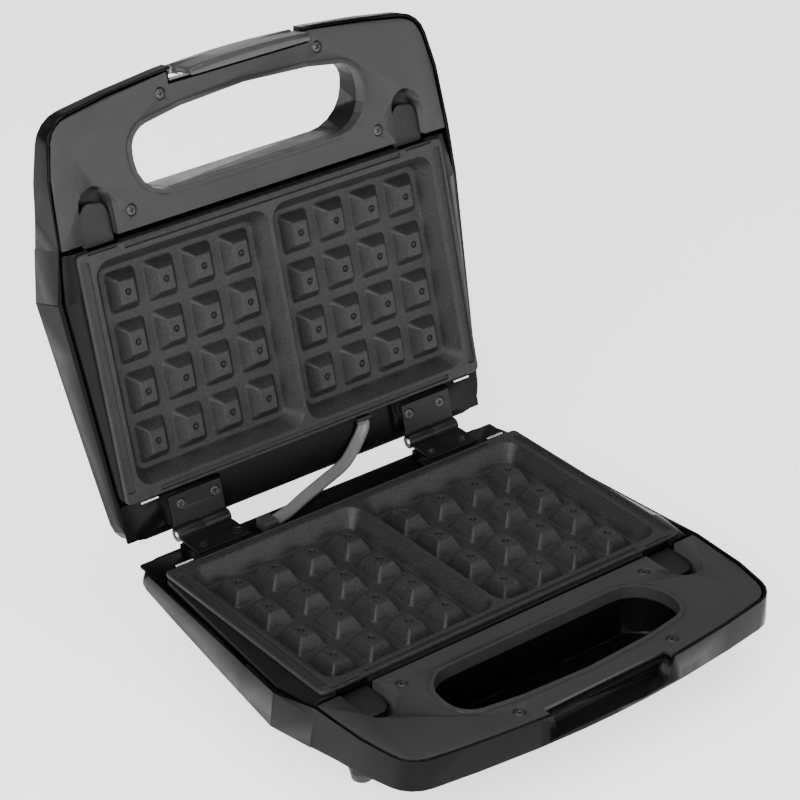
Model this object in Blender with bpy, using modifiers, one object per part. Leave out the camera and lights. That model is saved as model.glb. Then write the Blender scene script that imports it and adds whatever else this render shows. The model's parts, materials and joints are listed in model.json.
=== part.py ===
"""Two-slice waffle maker with a hinged lid, standing open.

Both halves share one design and are drawn in the same half frame: x across, -y from the hinge
line towards the handle, z out of the cooking face, with z = 0 on the face of the handle panel.
Distances called "reach" run from the hinge line towards the handle. The base uses the half frame
upright. The lid turns it over and swings it open about the hinge axis.
"""

import math
from collections import namedtuple

import bmesh
import bpy
from mathutils import Matrix, Vector

# ---------------------------------------------------------------- sizes, in metres

CLEARANCE = 0.0003          # gap between pieces that touch
FIT = 0.0004                # gap round a piece that slides or lifts out
CUT = 0.003                 # how far a cutter runs past the faces it opens

# Cooking plate
PLATE_HALF_WIDTH = 0.1198
PLATE_REAR = 0.0272
PLATE_FRONT = 0.1650
PLATE_TOP = 0.0025
FLANGE = 0.0020             # thickness of the plate's rim
CAVITY_DEPTH = 0.0105
CAVITY_SIDE_RIM = 0.0095    # rim between a waffle cavity and the plate's side edge
CAVITY_REAR_RIM = 0.0074
CAVITY_FRONT_RIM = 0.0072
DIVIDER = 0.0030            # crest between the two cavities
CAVITY_DRAFT = 0.0063       # how far a cavity wall leans in over its depth
CAVITY_CORNER = 0.0090
CASTING = 0.0022            # wall of the plate under and round the cavities
PEG_COLUMNS = 4
PEG_ROWS = 4
PEG_GROOVE = 0.0056         # channel between two pegs, at the floor
PEG_HEIGHT = 0.0071
PEG_DRAFT = 0.0047
PEG_ROOT = 0.0008           # how far a peg is sunk in the floor, so that they join
GROOVE_DEPTH = 0.0010       # drip channels in the plate's rim
SIDE_GROOVE = (0.0065, 0.0020)      # in from the plate's side edge
REAR_GROOVE = (0.0018, 0.0044)      # in from the rear edge
FRONT_GROOVE = (0.0038, 0.0012)     # in from the front edge
REAR_GROOVE_END = 0.0220
FRONT_GROOVE_END = 0.0290

# Plate frame, the ring that carries the plate
FRAME_REAR = 0.0260
FRAME_FRONT = 0.1663
FRAME_EDGE = -0.0030        # height of its outer edge
FRAME_LEDGE = 0.0002        # height of the ledge under the plate's rim
FRAME_BOTTOM = -0.0062
LEDGE_OVERHANG = 0.0021     # ledge seen beside the plate
FRAME_CHAMFER = 0.0009
KINK_REACH = 0.1410         # where the sides are widest
KINK_FLARE = 0.0086         # plate edge to the frame's edge at the kink
FRONT_FLARE = 0.0058        # the same at the frame's front

# Shell
SHELL_DEPTH = 0.0440        # panel face to the flat outer face
WALL = 0.0026
FRAME_GAP = 0.0010          # shadow gap between frame and shell wall
SHELL_REAR = 0.0034
SIDE_TOP = -0.0050          # height of the wall beside the plate
SIDE_BULGE = 0.0022         # wall leans out this much down to its waist
REAR_WAIST = -0.0100
KINK_WAIST = -0.0245
REAR_CORNER = 0.0140
BELLY_INSET = 0.0600        # flat outer face stands in this far at the sides and the rear
BELLY_FRONT_INSET = 0.1100  # the same at the front, so that the handle's underside slopes
BELLY_CURVE = 1.8           # roundness of the belly beside the plate
HANDLE_CURVE = 1.05         # roundness of the handle's underside, nearly straight
BELLY_LEVELS = (0.0, 0.10, 0.22, 0.36, 0.52, 0.72, 1.0)
DECK_DEPTH = 0.0045         # floor behind the plate, below the panel face
DECK = 0.0020

# Handle panel
PANEL_REAR = 0.1689
PANEL_HALF_WIDTH = 0.1256
PANEL_TAPER = 0.0500        # sideways lean of the panel's side, per unit of reach
HANDLE_REACH = 0.2450
FRONT_BOW = 0.83            # sag of the front edge, per metre squared from the middle
HANDLE_CORNER = 0.0150
SHOULDER = 0.47             # share of the handle's reach at which its side draws in
HANDLE_CHEEK = 0.0040       # how far the side draws in before the front corner
PANEL = 0.0024
RIM = 0.0014                # top edge of the shell round the panel
RIM_GAP = 0.0012
RIM_TOP = 0.0004
BASE_FRONT_WAIST = -0.0160
LID_FRONT_WAIST = -0.0075

# Grip opening
GRIP_REAR = 0.1832
GRIP_FRONT = 0.2268
GRIP_HALF_WIDTH = 0.0750
GRIP_BOW = 1.35
GRIP_REAR_CORNER = 0.0200
GRIP_FRONT_CORNER = 0.0135
GRIP_LIP = 0.0025
GRIP_LIP_RISE = 0.0010
GRIP_COLLAR = 0.0063        # depth of the panel's collar in the opening
GRIP_TUBE = 0.0022
GRIP_BROW = 0.55            # share of the half width at which the front edge turns
GRIP_DRAFT = 0.0006

# Release buttons
BUTTON_X = 0.1017
POCKET_HALF_WIDTH = 0.0101
POCKET_APEX = 0.1973
POCKET_FLOOR = -0.0120
POCKET_WALL = 0.0012
BUTTON_HALF_WIDTH = 0.0093
BUTTON_APEX = 0.1884
BUTTON_TOP = -0.0040
BUTTON_SKIN = 0.0022
BUTTON_TRAVEL = 0.0050
BUTTON_SKIRT = 0.0010
BUTTON_LEG_REACH = 0.0070   # from the panel's edge to the spring's leg
SPRING_WIRE = 0.00035
SPRING_RADIUS = 0.0020
SPRING_TURNS = 4
SPRING_POST_BACK = 0.0020   # spring's post behind the button's apex
SPRING_POST = 0.0014
SPRING_POST_HALF_WIDTH = 0.0030
SPRING_LEG = 0.0020
SPRING_LEG_HALF_WIDTH = 0.0032
POST_GAP = 0.0009           # post's top below the button's skin

# Plate clips
CLIP_X = 0.1062
CLIP_HALF_WIDTH = 0.0055
CLIP = 0.0014

# Heating
ELEMENT_RADIUS = 0.0031
ELEMENT_BEND = 0.0180
REFLECTOR = 0.0008
REFLECTOR_DEPTH = 0.0095
ELEMENT_GAP = 0.0007        # element below the plate
ELEMENT_SIDE = 0.0200       # element in from the tub's side
ELEMENT_END = 0.0100        # element in from the tub's ends
ELEMENT_LEAD = 0.0220       # half the gap between its two leads
REFLECTOR_GAP = 0.0006
REFLECTOR_SIDE = 0.0040
REFLECTOR_END = 0.0030

# Hinge
OPEN_ANGLE = math.radians(105.46)
AXIS_REACH = 0.0027
AXIS_HEIGHT = 0.0035
KNUCKLE_RADIUS = 0.0040
PIN_RADIUS = 0.0015
LEAF_INNER = 0.0620
LEAF_OUTER = 0.0955
LEAF_FRONT = 0.0240
LEAF_TOP = 0.0031
LEAF = 0.0015
LEAF_SCREW_INSET = 0.0058
LEAF_SCREW_REACH = 0.0180
LEAF_SCREW_SHIFT = (0.0013, 0.0012)  # inner and outer screws, towards the hinge's inner end
HINGE_BLOCK_SIDE = 0.0015   # block beyond the leaf on each side
HINGE_BLOCK_REAR = 0.0015   # block behind the knuckle
HINGE_BLOCK_FRONT = 0.0008  # block short of the plate frame
LEAF_REAR_GAP = 0.0007

# Latch
LATCH_HALF_WIDTH = 0.0380
LATCH_LOW = -0.0120
LATCH_HIGH = 0.0134
LATCH_SKIN = 0.0030
LATCH_PIVOT_BACK = 0.0020   # pivot behind the front edge of the panel
LATCH_PIVOT_HEIGHT = -0.0050
LATCH_PIN_RADIUS = 0.0012
LATCH_BOSS = 0.0028
LATCH_BACK_STAND = 0.0038   # latch's inner face behind the panel's front edge
BARB = 0.0006
BARB_LOW = 0.0122
BARB_ROOT = 0.0040
LATCH_FACE = 0.0010         # latch's face in front of the panel's front edge
LATCH_EDGE = (0.0006, 0.0010)   # chamfer along its lower edge
LATCH_BROW = ((0.0008, 0.0006), (0.0024, 0.0))  # rounding along its upper edge
LATCH_BROW_LOW = 0.0022
LATCH_STEPS = 8
LATCH_SPRING_TURNS = 3
LATCH_SPRING_GAP = 0.0002
LATCH_SPRING_LEGS = (0.0075, -0.0065)
NOTCH_HALF_WIDTH = 0.0403
NOTCH_TAPER = 0.0045
NOTCH_BACK = 0.0070         # notch's back wall behind the panel's front edge
NOTCH_FLOOR = -0.0135
PANEL_STEP = 0.0064         # panel's step back over the notch
LID_PANEL_STEP = 0.0082
LID_NOTCH_HALF_WIDTH = 0.0425
CATCH_LOW = -0.0042
CATCH_TIP = 0.0045          # catch's tip behind the panel's front edge
CATCH_SIDE = 0.0012
CATCH_RAMP = 0.0012
CATCH_NOSE = 0.0004

# Screws
SCREW_HEAD = 0.0030
SCREW_HEAD_HEIGHT = 0.0012
SCREW_SHANK = 0.0015
SCREW_LENGTH = 0.0075
COUNTERBORE = 0.0015
HEAD_GAP = 0.0006           # gap round a screw head
HINGE_SCREW_HEAD = 0.0028
HINGE_SCREW_LENGTH = 0.0100
BLIND = 0.0010              # depth of a screw hole past the screw's tip
HINGE_BLOCK_LOW = -0.0125
BOSS = 0.0040
HANDLE_SCREWS = ((0.0809, 0.1789), (0.0507, 0.2333))

# Feet
FOOT_HEIGHT = 0.0057
FOOT_TOP = 0.0064
FOOT_BOTTOM = 0.0055
LEG_TOP = 0.0100            # radius of the moulded leg at its root
LEG_BOTTOM = 0.0070
LEG_ROOT = -0.0180
FOOT_RIM = 0.0015
FRONT_FOOT = (0.1030, 0.1750)
REAR_FOOT = (0.0940, 0.0275)

# Link cable, thermostat, lights and cord inlet
CABLE_RADIUS = 0.0030
GLAND_HALF_WIDTH = 0.0048
GLAND_HEIGHT = 0.0066
GLAND_STAND = 0.0009        # the cable meets each gland at a slant
BASE_GLAND = (0.0413, 0.0178)
LID_GLAND = (0.0374, 0.0232)
THERMOSTAT = (0.0280, 0.0880)
LENS_X = 0.0080
LENS_REACH = 0.1300
LENS_RADIUS = 0.0032
INLET_HEIGHT = -0.0165
INLET_BOSS = 0.0085
INLET_BOSS_STAND = 0.0001   # boss face in front of the shell's rear face
INLET_BOSS_LENGTH = 0.0200
INLET_BORE = 0.0033
INLET_STAND = 0.0025        # bush behind the shell's rear
INLET_LENGTH = 0.0140
INLET_FLANGE = (0.0010, 0.0018)     # how far it runs back, and how far it stands out
BASE_GLAND_LENGTH = 0.0095
CABLE_STUB = 0.0035         # straight length of cable out of the lid's gland
THERMOSTAT_RADIUS = 0.0080
THERMOSTAT_HEIGHT = 0.0085
TAB_SPACING = 0.0045
TAB = (0.0004, 0.0030)      # half thickness and half width of a terminal
TAB_ENDS = (0.0150, 0.0080)
LENS_STAND = 0.0006
LENS_CHAMFER = (0.0005, 0.0004)
LENS_COLLAR = (0.0010, 0.0012)      # how far it stands out, and its thickness
LENS_HOLE = 0.0060
INLET_RADIUS = 0.0050

# ---------------------------------------------------------------- colours

# name: (base colour, roughness, metallic)
FINISHES = {
    "shell_black": ((0.012, 0.012, 0.013), 0.22, 0.0),
    "panel_black": ((0.060, 0.060, 0.062), 0.45, 0.0),
    "frame_black": ((0.030, 0.030, 0.031), 0.40, 0.2),
    "plate_coating": ((0.075, 0.075, 0.078), 0.42, 0.3),
    "button_black": ((0.022, 0.022, 0.023), 0.40, 0.0),
    "latch_grey": ((0.120, 0.120, 0.125), 0.32, 0.2),
    "hinge_black": ((0.015, 0.015, 0.016), 0.45, 0.5),
    "screw_black": ((0.030, 0.030, 0.032), 0.35, 0.8),
    "bright_steel": ((0.750, 0.750, 0.760), 0.25, 1.0),
    "spring_steel": ((0.550, 0.550, 0.560), 0.30, 1.0),
    "element_steel": ((0.300, 0.290, 0.280), 0.45, 1.0),
    "reflector_steel": ((0.700, 0.700, 0.710), 0.30, 1.0),
    "cable_grey": ((0.200, 0.200, 0.205), 0.50, 0.0),
    "rubber_black": ((0.020, 0.020, 0.020), 0.80, 0.0),
    "ceramic_white": ((0.800, 0.780, 0.740), 0.50, 0.0),
    "lens_red": ((0.600, 0.020, 0.015), 0.15, 0.0),
    "lens_green": ((0.020, 0.450, 0.060), 0.15, 0.0),
}

Half = namedtuple("Half", "name parent flip front_waist through panel_step notch_half_width")


# ---------------------------------------------------------------- scene and objects

def clear_scene():
    for obj in list(bpy.data.objects):
        bpy.data.objects.remove(obj)


def make_collection(name):
    collection = bpy.data.collections.new(name)
    bpy.context.scene.collection.children.link(collection)
    return collection


def make_finish(name):
    colour, roughness, metallic = FINISHES[name]
    material = bpy.data.materials.new(name)
    material.use_nodes = True
    shader = material.node_tree.nodes["Principled BSDF"]
    shader.inputs["Base Color"].default_value = (*colour, 1.0)
    shader.inputs["Roughness"].default_value = roughness
    shader.inputs["Metallic"].default_value = metallic
    return material


def make_empty(name, location, rotation=None):
    empty = bpy.data.objects.new(name, None)
    empty.location = location
    if rotation:
        empty.matrix_world = Matrix.Translation(location) @ rotation
    PARTS.objects.link(empty)
    return empty


def half_offset():
    """Moves the half frame so that the hinge axis is its origin."""
    return Vector((0.0, AXIS_REACH, -AXIS_HEIGHT))


def place(obj, half, collection):
    obj.parent = half.parent
    obj.location = half_offset()
    collection.objects.link(obj)
    return obj


def add_part(name, half, mesh, finish):
    """A part of one half, from a mesh drawn in the half frame."""
    obj = bpy.data.objects.new(name, mesh)
    material = bpy.data.materials.get(finish) or make_finish(finish)
    if mesh.materials:
        mesh.materials[0] = material
    else:
        mesh.materials.append(material)
    mesh.shade_smooth()
    mesh.set_sharp_from_angle(angle=math.radians(30))
    return place(obj, half, PARTS)


def add_tool(name, half, mesh):
    """A hidden shape that cuts a part or is joined to one."""
    obj = place(bpy.data.objects.new(f"{half.name}_{name}", mesh), half, CUTTERS)
    obj.hide_render = True
    obj.display_type = "WIRE"
    return obj


def combine(obj, tool, operation):
    modifier = obj.modifiers.new(tool.name, "BOOLEAN")
    modifier.operation = operation
    modifier.object = tool
    modifier.solver = "EXACT"


def set_origin(obj, x, reach, height):
    """Moves an object's origin to a point of the half frame and leaves its shape in place."""
    point = Vector((x, -reach, height))
    obj.data.transform(Matrix.Translation(-point))
    obj.location = obj.location + point


# ---------------------------------------------------------------- mesh shapes, in the half frame

def mesh_from(bm, name="shape"):
    bmesh.ops.recalc_face_normals(bm, faces=bm.faces)
    mesh = bpy.data.meshes.new(name)
    bm.to_mesh(mesh)
    bm.free()
    return mesh


def add_box(bm, x, reach, height):
    """A box from three (low, high) pairs."""
    size = Matrix.Diagonal((x[1] - x[0], reach[1] - reach[0], height[1] - height[0], 1.0))
    middle = Vector((sum(x) / 2, -sum(reach) / 2, sum(height) / 2))
    bmesh.ops.create_cube(bm, size=1.0, matrix=Matrix.Translation(middle) @ size)


def add_round(bm, start, end, radius, end_radius=None, segments=16):
    """A cylinder or cone between two points given as (x, reach, height)."""
    low = Vector((start[0], -start[1], start[2]))
    high = Vector((end[0], -end[1], end[2]))
    turn = Vector((0, 0, 1)).rotation_difference(high - low).to_matrix().to_4x4()
    bmesh.ops.create_cone(
        bm,
        cap_ends=True,
        segments=segments,
        radius1=radius,
        radius2=radius if end_radius is None else end_radius,
        depth=(high - low).length,
        matrix=Matrix.Translation((low + high) / 2) @ turn,
    )


def add_loft(bm, rings):
    """A closed solid through rings of (x, reach, height) points, all with the same count."""
    loops = [[bm.verts.new((x, -reach, height)) for x, reach, height in ring] for ring in rings]
    count = len(loops[0])
    for lower, upper in zip(loops, loops[1:]):
        for i in range(count):
            j = (i + 1) % count
            bm.faces.new((lower[i], lower[j], upper[j], upper[i]))
    bm.faces.new(loops[0])
    bm.faces.new(loops[-1])


def add_prism(bm, outline, height):
    """An upright prism on an outline of (x, reach) points, between two heights."""
    add_loft(bm, [[(x, reach, h) for x, reach in outline] for h in height])


def box_mesh(x, reach, height):
    bm = bmesh.new()
    add_box(bm, x, reach, height)
    return mesh_from(bm)


def prism_mesh(outline, height):
    bm = bmesh.new()
    add_prism(bm, outline, height)
    return mesh_from(bm)


def arc_points(before, corner, after, radius, steps):
    """The arc of this radius that rounds one corner of an outline."""
    corner = Vector(corner)
    back = (Vector(before) - corner).normalized()
    ahead = (Vector(after) - corner).normalized()
    half_angle = back.angle(ahead) / 2
    run = radius / math.tan(half_angle)
    centre = corner + (back + ahead).normalized() * radius / math.sin(half_angle)
    first = corner + back * run - centre
    last = corner + ahead * run - centre
    sweep = first.angle_signed(last)
    points = []
    for i in range(steps + 1):
        turn = -sweep * i / steps
        points.append(centre + Matrix.Rotation(turn, 2) @ first)
    return [tuple(point) for point in points]


def rounded(corners, steps=4):
    """A closed outline from corners (x, reach, radius); a radius of 0 keeps a corner sharp."""
    points = []
    for i, (x, reach, radius) in enumerate(corners):
        if radius == 0:
            points.append((x, reach))
            continue
        before = corners[i - 1][:2]
        after = corners[(i + 1) % len(corners)][:2]
        points += arc_points(before, (x, reach), after, radius, steps)
    return points


def mirrored(corners):
    """Adds the -X side to the corners of the +X side, which run from rear to front."""
    return corners + [(-x, reach, radius) for x, reach, radius in reversed(corners) if x > 0]


def coil_points(turns, radius, length, per_turn=8):
    """Points of a helix along +x from 0, about the x axis."""
    points = []
    for i in range(turns * per_turn + 1):
        turn = 2 * math.pi * i / per_turn
        points.append((length * i / (turns * per_turn), radius * math.cos(turn), radius * math.sin(turn)))
    return points


def wire_mesh(points, radius, resolution):
    """A round wire with closed ends through (x, reach, height) points."""
    curve = bpy.data.curves.new("wire", "CURVE")
    curve.dimensions = "3D"
    curve.bevel_depth = radius
    curve.bevel_resolution = resolution
    curve.use_fill_caps = True
    spline = curve.splines.new("POLY")
    spline.points.add(len(points) - 1)
    for point, (x, reach, height) in zip(spline.points, points):
        point.co = (x, -reach, height, 1.0)
    guide = bpy.data.objects.new("wire", curve)
    PARTS.objects.link(guide)
    mesh = bpy.data.meshes.new_from_object(guide.evaluated_get(bpy.context.evaluated_depsgraph_get()))
    bpy.data.objects.remove(guide)
    bpy.data.curves.remove(curve)
    bm = bmesh.new()
    bm.from_mesh(mesh)
    bmesh.ops.remove_doubles(bm, verts=bm.verts, dist=1e-6)
    bm.to_mesh(mesh)
    bm.free()
    return mesh


def smooth_route(points, per_span=4):
    """Points of a Catmull-Rom curve through a short list of route points."""
    padded = [points[0]] + points + [points[-1]]
    route = []
    for i in range(1, len(padded) - 2):
        p0, p1, p2, p3 = (Vector(p) for p in padded[i - 1 : i + 3])
        for step in range(per_span):
            t = step / per_span
            a = 2 * p1 + (p2 - p0) * t
            b = (2 * p0 - 5 * p1 + 4 * p2 - p3) * t * t
            c = (3 * p1 - p0 - 3 * p2 + p3) * t * t * t
            route.append((a + b + c) / 2)
    return route + [Vector(points[-1])]


def add_turned(name, half, profile, centre, finish, steps=10):
    """A turned piece from (radius, height) points that run top to bottom down its outside."""
    mesh = bpy.data.meshes.new(name)
    bm = bmesh.new()
    verts = [bm.verts.new((radius, 0.0, height)) for radius, height in profile]
    for first, second in zip(verts, verts[1:]):
        bm.edges.new((first, second))
    bm.to_mesh(mesh)
    bm.free()
    obj = add_part(name, half, mesh, finish)
    obj.location = obj.location + Vector((centre[0], -centre[1], centre[2]))
    screw = obj.modifiers.new("turn", "SCREW")
    screw.steps = steps
    screw.render_steps = steps
    screw.use_merge_vertices = True
    screw.merge_threshold = 1e-5
    screw.use_smooth_shade = True
    return obj


# ---------------------------------------------------------------- outlines

def frame_edge(reach):
    """Half width of the plate frame's outer edge."""
    if reach < KINK_REACH:
        return PLATE_HALF_WIDTH + KINK_FLARE * (reach - FRAME_REAR) / (KINK_REACH - FRAME_REAR)
    back = (reach - KINK_REACH) / (FRAME_FRONT - KINK_REACH)
    return PLATE_HALF_WIDTH + KINK_FLARE + (FRONT_FLARE - KINK_FLARE) * back


def panel_side(reach):
    return PANEL_HALF_WIDTH - PANEL_TAPER * (reach - PANEL_REAR)


def front_edge(x):
    """Reach of the handle panel's bowed front edge."""
    return HANDLE_REACH - FRONT_BOW * x * x


def handle_corner(out):
    """Corner between the handle's side and its front, moved out by a distance."""
    x = panel_side(HANDLE_REACH) - HANDLE_CHEEK + out
    return (x, front_edge(x - out) + out, max(HANDLE_CORNER + out, 0.0020))


def handle_shoulder():
    """Reach at which the panel's side starts to draw in."""
    return PANEL_REAR + SHOULDER * (HANDLE_REACH - PANEL_REAR)


def front_stations(out):
    """Points of the bowed front from the corner to the middle."""
    wide = NOTCH_HALF_WIDTH + 0.5 * (PANEL_HALF_WIDTH - NOTCH_HALF_WIDTH)
    stations = [(x, front_edge(x) + out, 0) for x in (wide, NOTCH_HALF_WIDTH + 0.008, 0.5 * NOTCH_HALF_WIDTH)]
    return stations + [(0.0, HANDLE_REACH + out, 0)]


def panel_corners():
    shoulder = handle_shoulder()
    side = [(panel_side(PANEL_REAR), PANEL_REAR, 0), (panel_side(shoulder), shoulder, 0)]
    return mirrored(side + [handle_corner(0.0)] + front_stations(0.0))


def grip_outline(out=0.0):
    """The D-shaped grip opening, straight at the back and bowed at the front."""
    wide = GRIP_HALF_WIDTH + out
    brow = GRIP_HALF_WIDTH * GRIP_BROW
    corners = [
        (wide, GRIP_REAR - out, GRIP_REAR_CORNER + out),
        (wide - GRIP_DRAFT, GRIP_FRONT + out - GRIP_BOW * GRIP_HALF_WIDTH**2, GRIP_FRONT_CORNER + out),
        (brow, GRIP_FRONT + out - GRIP_BOW * brow**2, 0),
        (0.0, GRIP_FRONT + out, 0),
    ]
    return rounded(mirrored(corners), steps=5)


def tongue_outline(half_width, rear, apex, centre):
    """A strip that runs from a straight rear edge to a half-round front end."""
    middle = apex - half_width
    points = [(centre - half_width, rear), (centre + half_width, rear)]
    for i in range(9):
        turn = math.pi * i / 8
        points.append((centre + half_width * math.cos(turn), middle + half_width * math.sin(turn)))
    return points


# ---------------------------------------------------------------- shell

STEP_REACH = PANEL_REAR + 0.0006
STEP_RUN = 0.0008


def shell_waist(reach, front_waist):
    """Height at which the side wall is widest and starts to turn in."""
    if reach < KINK_REACH:
        share = max(0.0, (reach - SHELL_REAR) / (KINK_REACH - SHELL_REAR))
        return REAR_WAIST + (KINK_WAIST - REAR_WAIST) * share**0.8
    share = min(1.0, (reach - KINK_REACH) / (HANDLE_REACH - KINK_REACH))
    return KINK_WAIST + (front_waist - KINK_WAIST) * share


def shell_outline(half, top, inset, rim_inset):
    """The shell seen from above, at its top edge or at its waist, moved in by a distance."""
    bulge = 0.0 if top else SIDE_BULGE
    wall = FRAME_GAP + WALL + bulge - inset
    out = RIM_GAP + RIM - rim_inset + (0.0 if top else SIDE_BULGE / 7)
    flare = 0.0 if top else (KINK_FLARE - FRONT_FLARE) * 0.7
    shoulder = handle_shoulder()
    middle = (STEP_REACH + shoulder) / 2
    side = [(frame_edge(SHELL_REAR) + wall, SHELL_REAR + inset, max(REAR_CORNER - inset * 0.6, 0.003))]
    for share in (0.35, 0.6, 0.8):
        side.append((frame_edge(share * KINK_REACH) + wall, share * KINK_REACH, 0))
    side.append((frame_edge(KINK_REACH) + wall, KINK_REACH, 0.0080))
    side.append((frame_edge(STEP_REACH) + wall, STEP_REACH, 0))
    side.append((panel_side(STEP_REACH) + out + flare, STEP_REACH + STEP_RUN, 0))
    side.append((panel_side(middle) + out + flare * 0.3, middle, 0))
    side.append((panel_side(shoulder) + out, shoulder, 0))
    return rounded(mirrored(side + [handle_corner(out)] + front_stations(out)))


def top_ring(half, inset, rim_inset):
    """Top edge of the shell: low beside the plate and level with the panel round the handle."""
    ring = []
    for x, reach in shell_outline(half, True, inset, rim_inset):
        ring.append((x, reach, RIM_TOP if reach > STEP_REACH + STEP_RUN / 2 else SIDE_TOP))
    return ring


def belly_ring(half, inset, level):
    """One level of the belly, from the waist (0) to the edge of the flat outer face (1)."""
    flat_rear = SHELL_REAR + BELLY_INSET
    flat_front = HANDLE_REACH - BELLY_FRONT_INSET
    narrowing = 1.0 - level * BELLY_INSET / frame_edge(KINK_REACH)
    ring = []
    for x, reach in shell_outline(half, False, inset, inset):
        waist = shell_waist(reach, half.front_waist)
        share = min(max((reach - KINK_REACH) / (HANDLE_REACH - KINK_REACH), 0.0), 1.0)
        curve = BELLY_CURVE + (HANDLE_CURVE - BELLY_CURVE) * share
        fall = 1.0 - (1.0 - level) ** curve
        along = (reach - SHELL_REAR) / (HANDLE_REACH - SHELL_REAR)
        flat = flat_rear + (flat_front - flat_rear) * along
        height = waist - (SHELL_DEPTH + waist) * fall + inset
        ring.append((x * narrowing, reach + level * (flat - reach), height))
    return ring


def shell_outer_mesh(half, inset=0.0):
    bm = bmesh.new()
    belly = [belly_ring(half, inset, level) for level in BELLY_LEVELS]
    add_loft(bm, [top_ring(half, inset, inset)] + belly)
    return mesh_from(bm)


def shell_cavity_mesh(half, inset=WALL):
    """The space inside the shell, open at the top."""
    rim = top_ring(half, inset, RIM * inset / WALL)
    top = [(x, reach, CUT) for x, reach, _ in rim]
    rim = [(x, reach, SIDE_TOP) for x, reach, _ in rim]
    belly = []
    for level in BELLY_LEVELS[::2]:
        ring = belly_ring(half, inset, level)
        belly.append([(x, reach, min(height, SIDE_TOP - 0.0005)) for x, reach, height in ring])
    bm = bmesh.new()
    add_loft(bm, [top, rim] + belly)
    return mesh_from(bm)


def notch_mesh(half, grow=0.0, top=0.02):
    """The recess in the handle's front for the latch, tapered towards the outer face."""
    back = HANDLE_REACH - NOTCH_BACK - grow
    front = HANDLE_REACH + 0.02
    wide = half.notch_half_width + grow
    narrow = wide - (0.0 if half.through else NOTCH_TAPER)
    floor = NOTCH_FLOOR - grow
    levels = [(floor, narrow), (top, wide)]
    if top > 0.0:
        levels.insert(1, (0.0, wide))
    rings = []
    for height, x in levels:
        rings.append([(x, back, height), (x, front, height), (-x, front, height), (-x, back, height)])
    bm = bmesh.new()
    add_loft(bm, rings)
    return mesh_from(bm)


def boss_points(half):
    """Places of the handle screws, in the half frame."""
    return [(side * x, reach) for x, reach in HANDLE_SCREWS for side in (-1, 1)]


def hinge_screw_points():
    inner = LEAF_INNER + LEAF_SCREW_INSET - LEAF_SCREW_SHIFT[0]
    outer = LEAF_OUTER - LEAF_SCREW_INSET - LEAF_SCREW_SHIFT[1]
    return [(side * x, LEAF_SCREW_REACH) for x in (inner, outer) for side in (-1, 1)]


def floor_height():
    """A height inside the shell's outer wall, where posts are rooted."""
    return -SHELL_DEPTH + WALL / 2


def shell_posts_mesh(half):
    """Deck behind the plate, hinge blocks, screw bosses and the tube round the grip opening."""
    bm = bmesh.new()
    deck_x = frame_edge(SHELL_REAR) + FRAME_GAP + WALL / 2
    deck_top = -DECK_DEPTH
    deck_reach = (SHELL_REAR + WALL / 2, FRAME_REAR - CLEARANCE)
    add_box(bm, (-deck_x, deck_x), deck_reach, (deck_top - DECK, deck_top))
    deck = mesh_from(bm)
    bm = bmesh.new()
    for side in (-1, 1):
        middle = side * (LEAF_INNER + LEAF_OUTER) / 2
        reach_x = (LEAF_OUTER - LEAF_INNER) / 2 + HINGE_BLOCK_SIDE
        block_reach = (AXIS_REACH + KNUCKLE_RADIUS + HINGE_BLOCK_REAR, FRAME_REAR - HINGE_BLOCK_FRONT)
        block_height = (HINGE_BLOCK_LOW, LEAF_TOP - LEAF - CLEARANCE)
        add_box(bm, (middle - reach_x, middle + reach_x), block_reach, block_height)
    blocks = mesh_from(bm)
    bm = bmesh.new()
    for x, reach in boss_points(half):
        add_round(bm, (x, reach, floor_height()), (x, reach, -PANEL - CLEARANCE), BOSS, segments=12)
    bosses = mesh_from(bm)
    tube = prism_mesh(grip_outline(GRIP_TUBE), (floor_height(), -GRIP_COLLAR - CLEARANCE))
    return deck, blocks, bosses, tube


def legs_mesh():
    """Moulded legs that reach down from the belly to the feet."""
    bm = bmesh.new()
    for x, reach in (FRONT_FOOT, REAR_FOOT):
        for side in (-1, 1):
            low = (side * x, reach, -SHELL_DEPTH)
            high = (side * x, reach, LEG_ROOT)
            add_round(bm, low, high, LEG_BOTTOM, LEG_TOP, segments=20)
    return mesh_from(bm)


def shell_holes_mesh(half):
    """Screw holes in the bosses and the hinge blocks."""
    bm = bmesh.new()
    radius = SCREW_SHANK + CLEARANCE
    for x, reach in boss_points(half):
        bottom = -SCREW_LENGTH - BLIND
        add_round(bm, (x, reach, bottom), (x, reach, CUT), radius, segments=10)
    for x, reach in hinge_screw_points():
        bottom = LEAF_TOP - HINGE_SCREW_LENGTH - BLIND
        add_round(bm, (x, reach, bottom), (x, reach, LEAF_TOP), radius, segments=10)
    return mesh_from(bm)


def grip_cutter(half):
    """Right through the lid; in the base it stops on the inside of the belly."""
    cutter = add_tool("grip_cut", half, prism_mesh(grip_outline(), (-SHELL_DEPTH - CUT, CUT)))
    if not half.through:
        combine(cutter, add_tool("grip_limit", half, shell_cavity_mesh(half, WALL + CLEARANCE)), "INTERSECT")
    return cutter


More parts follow.
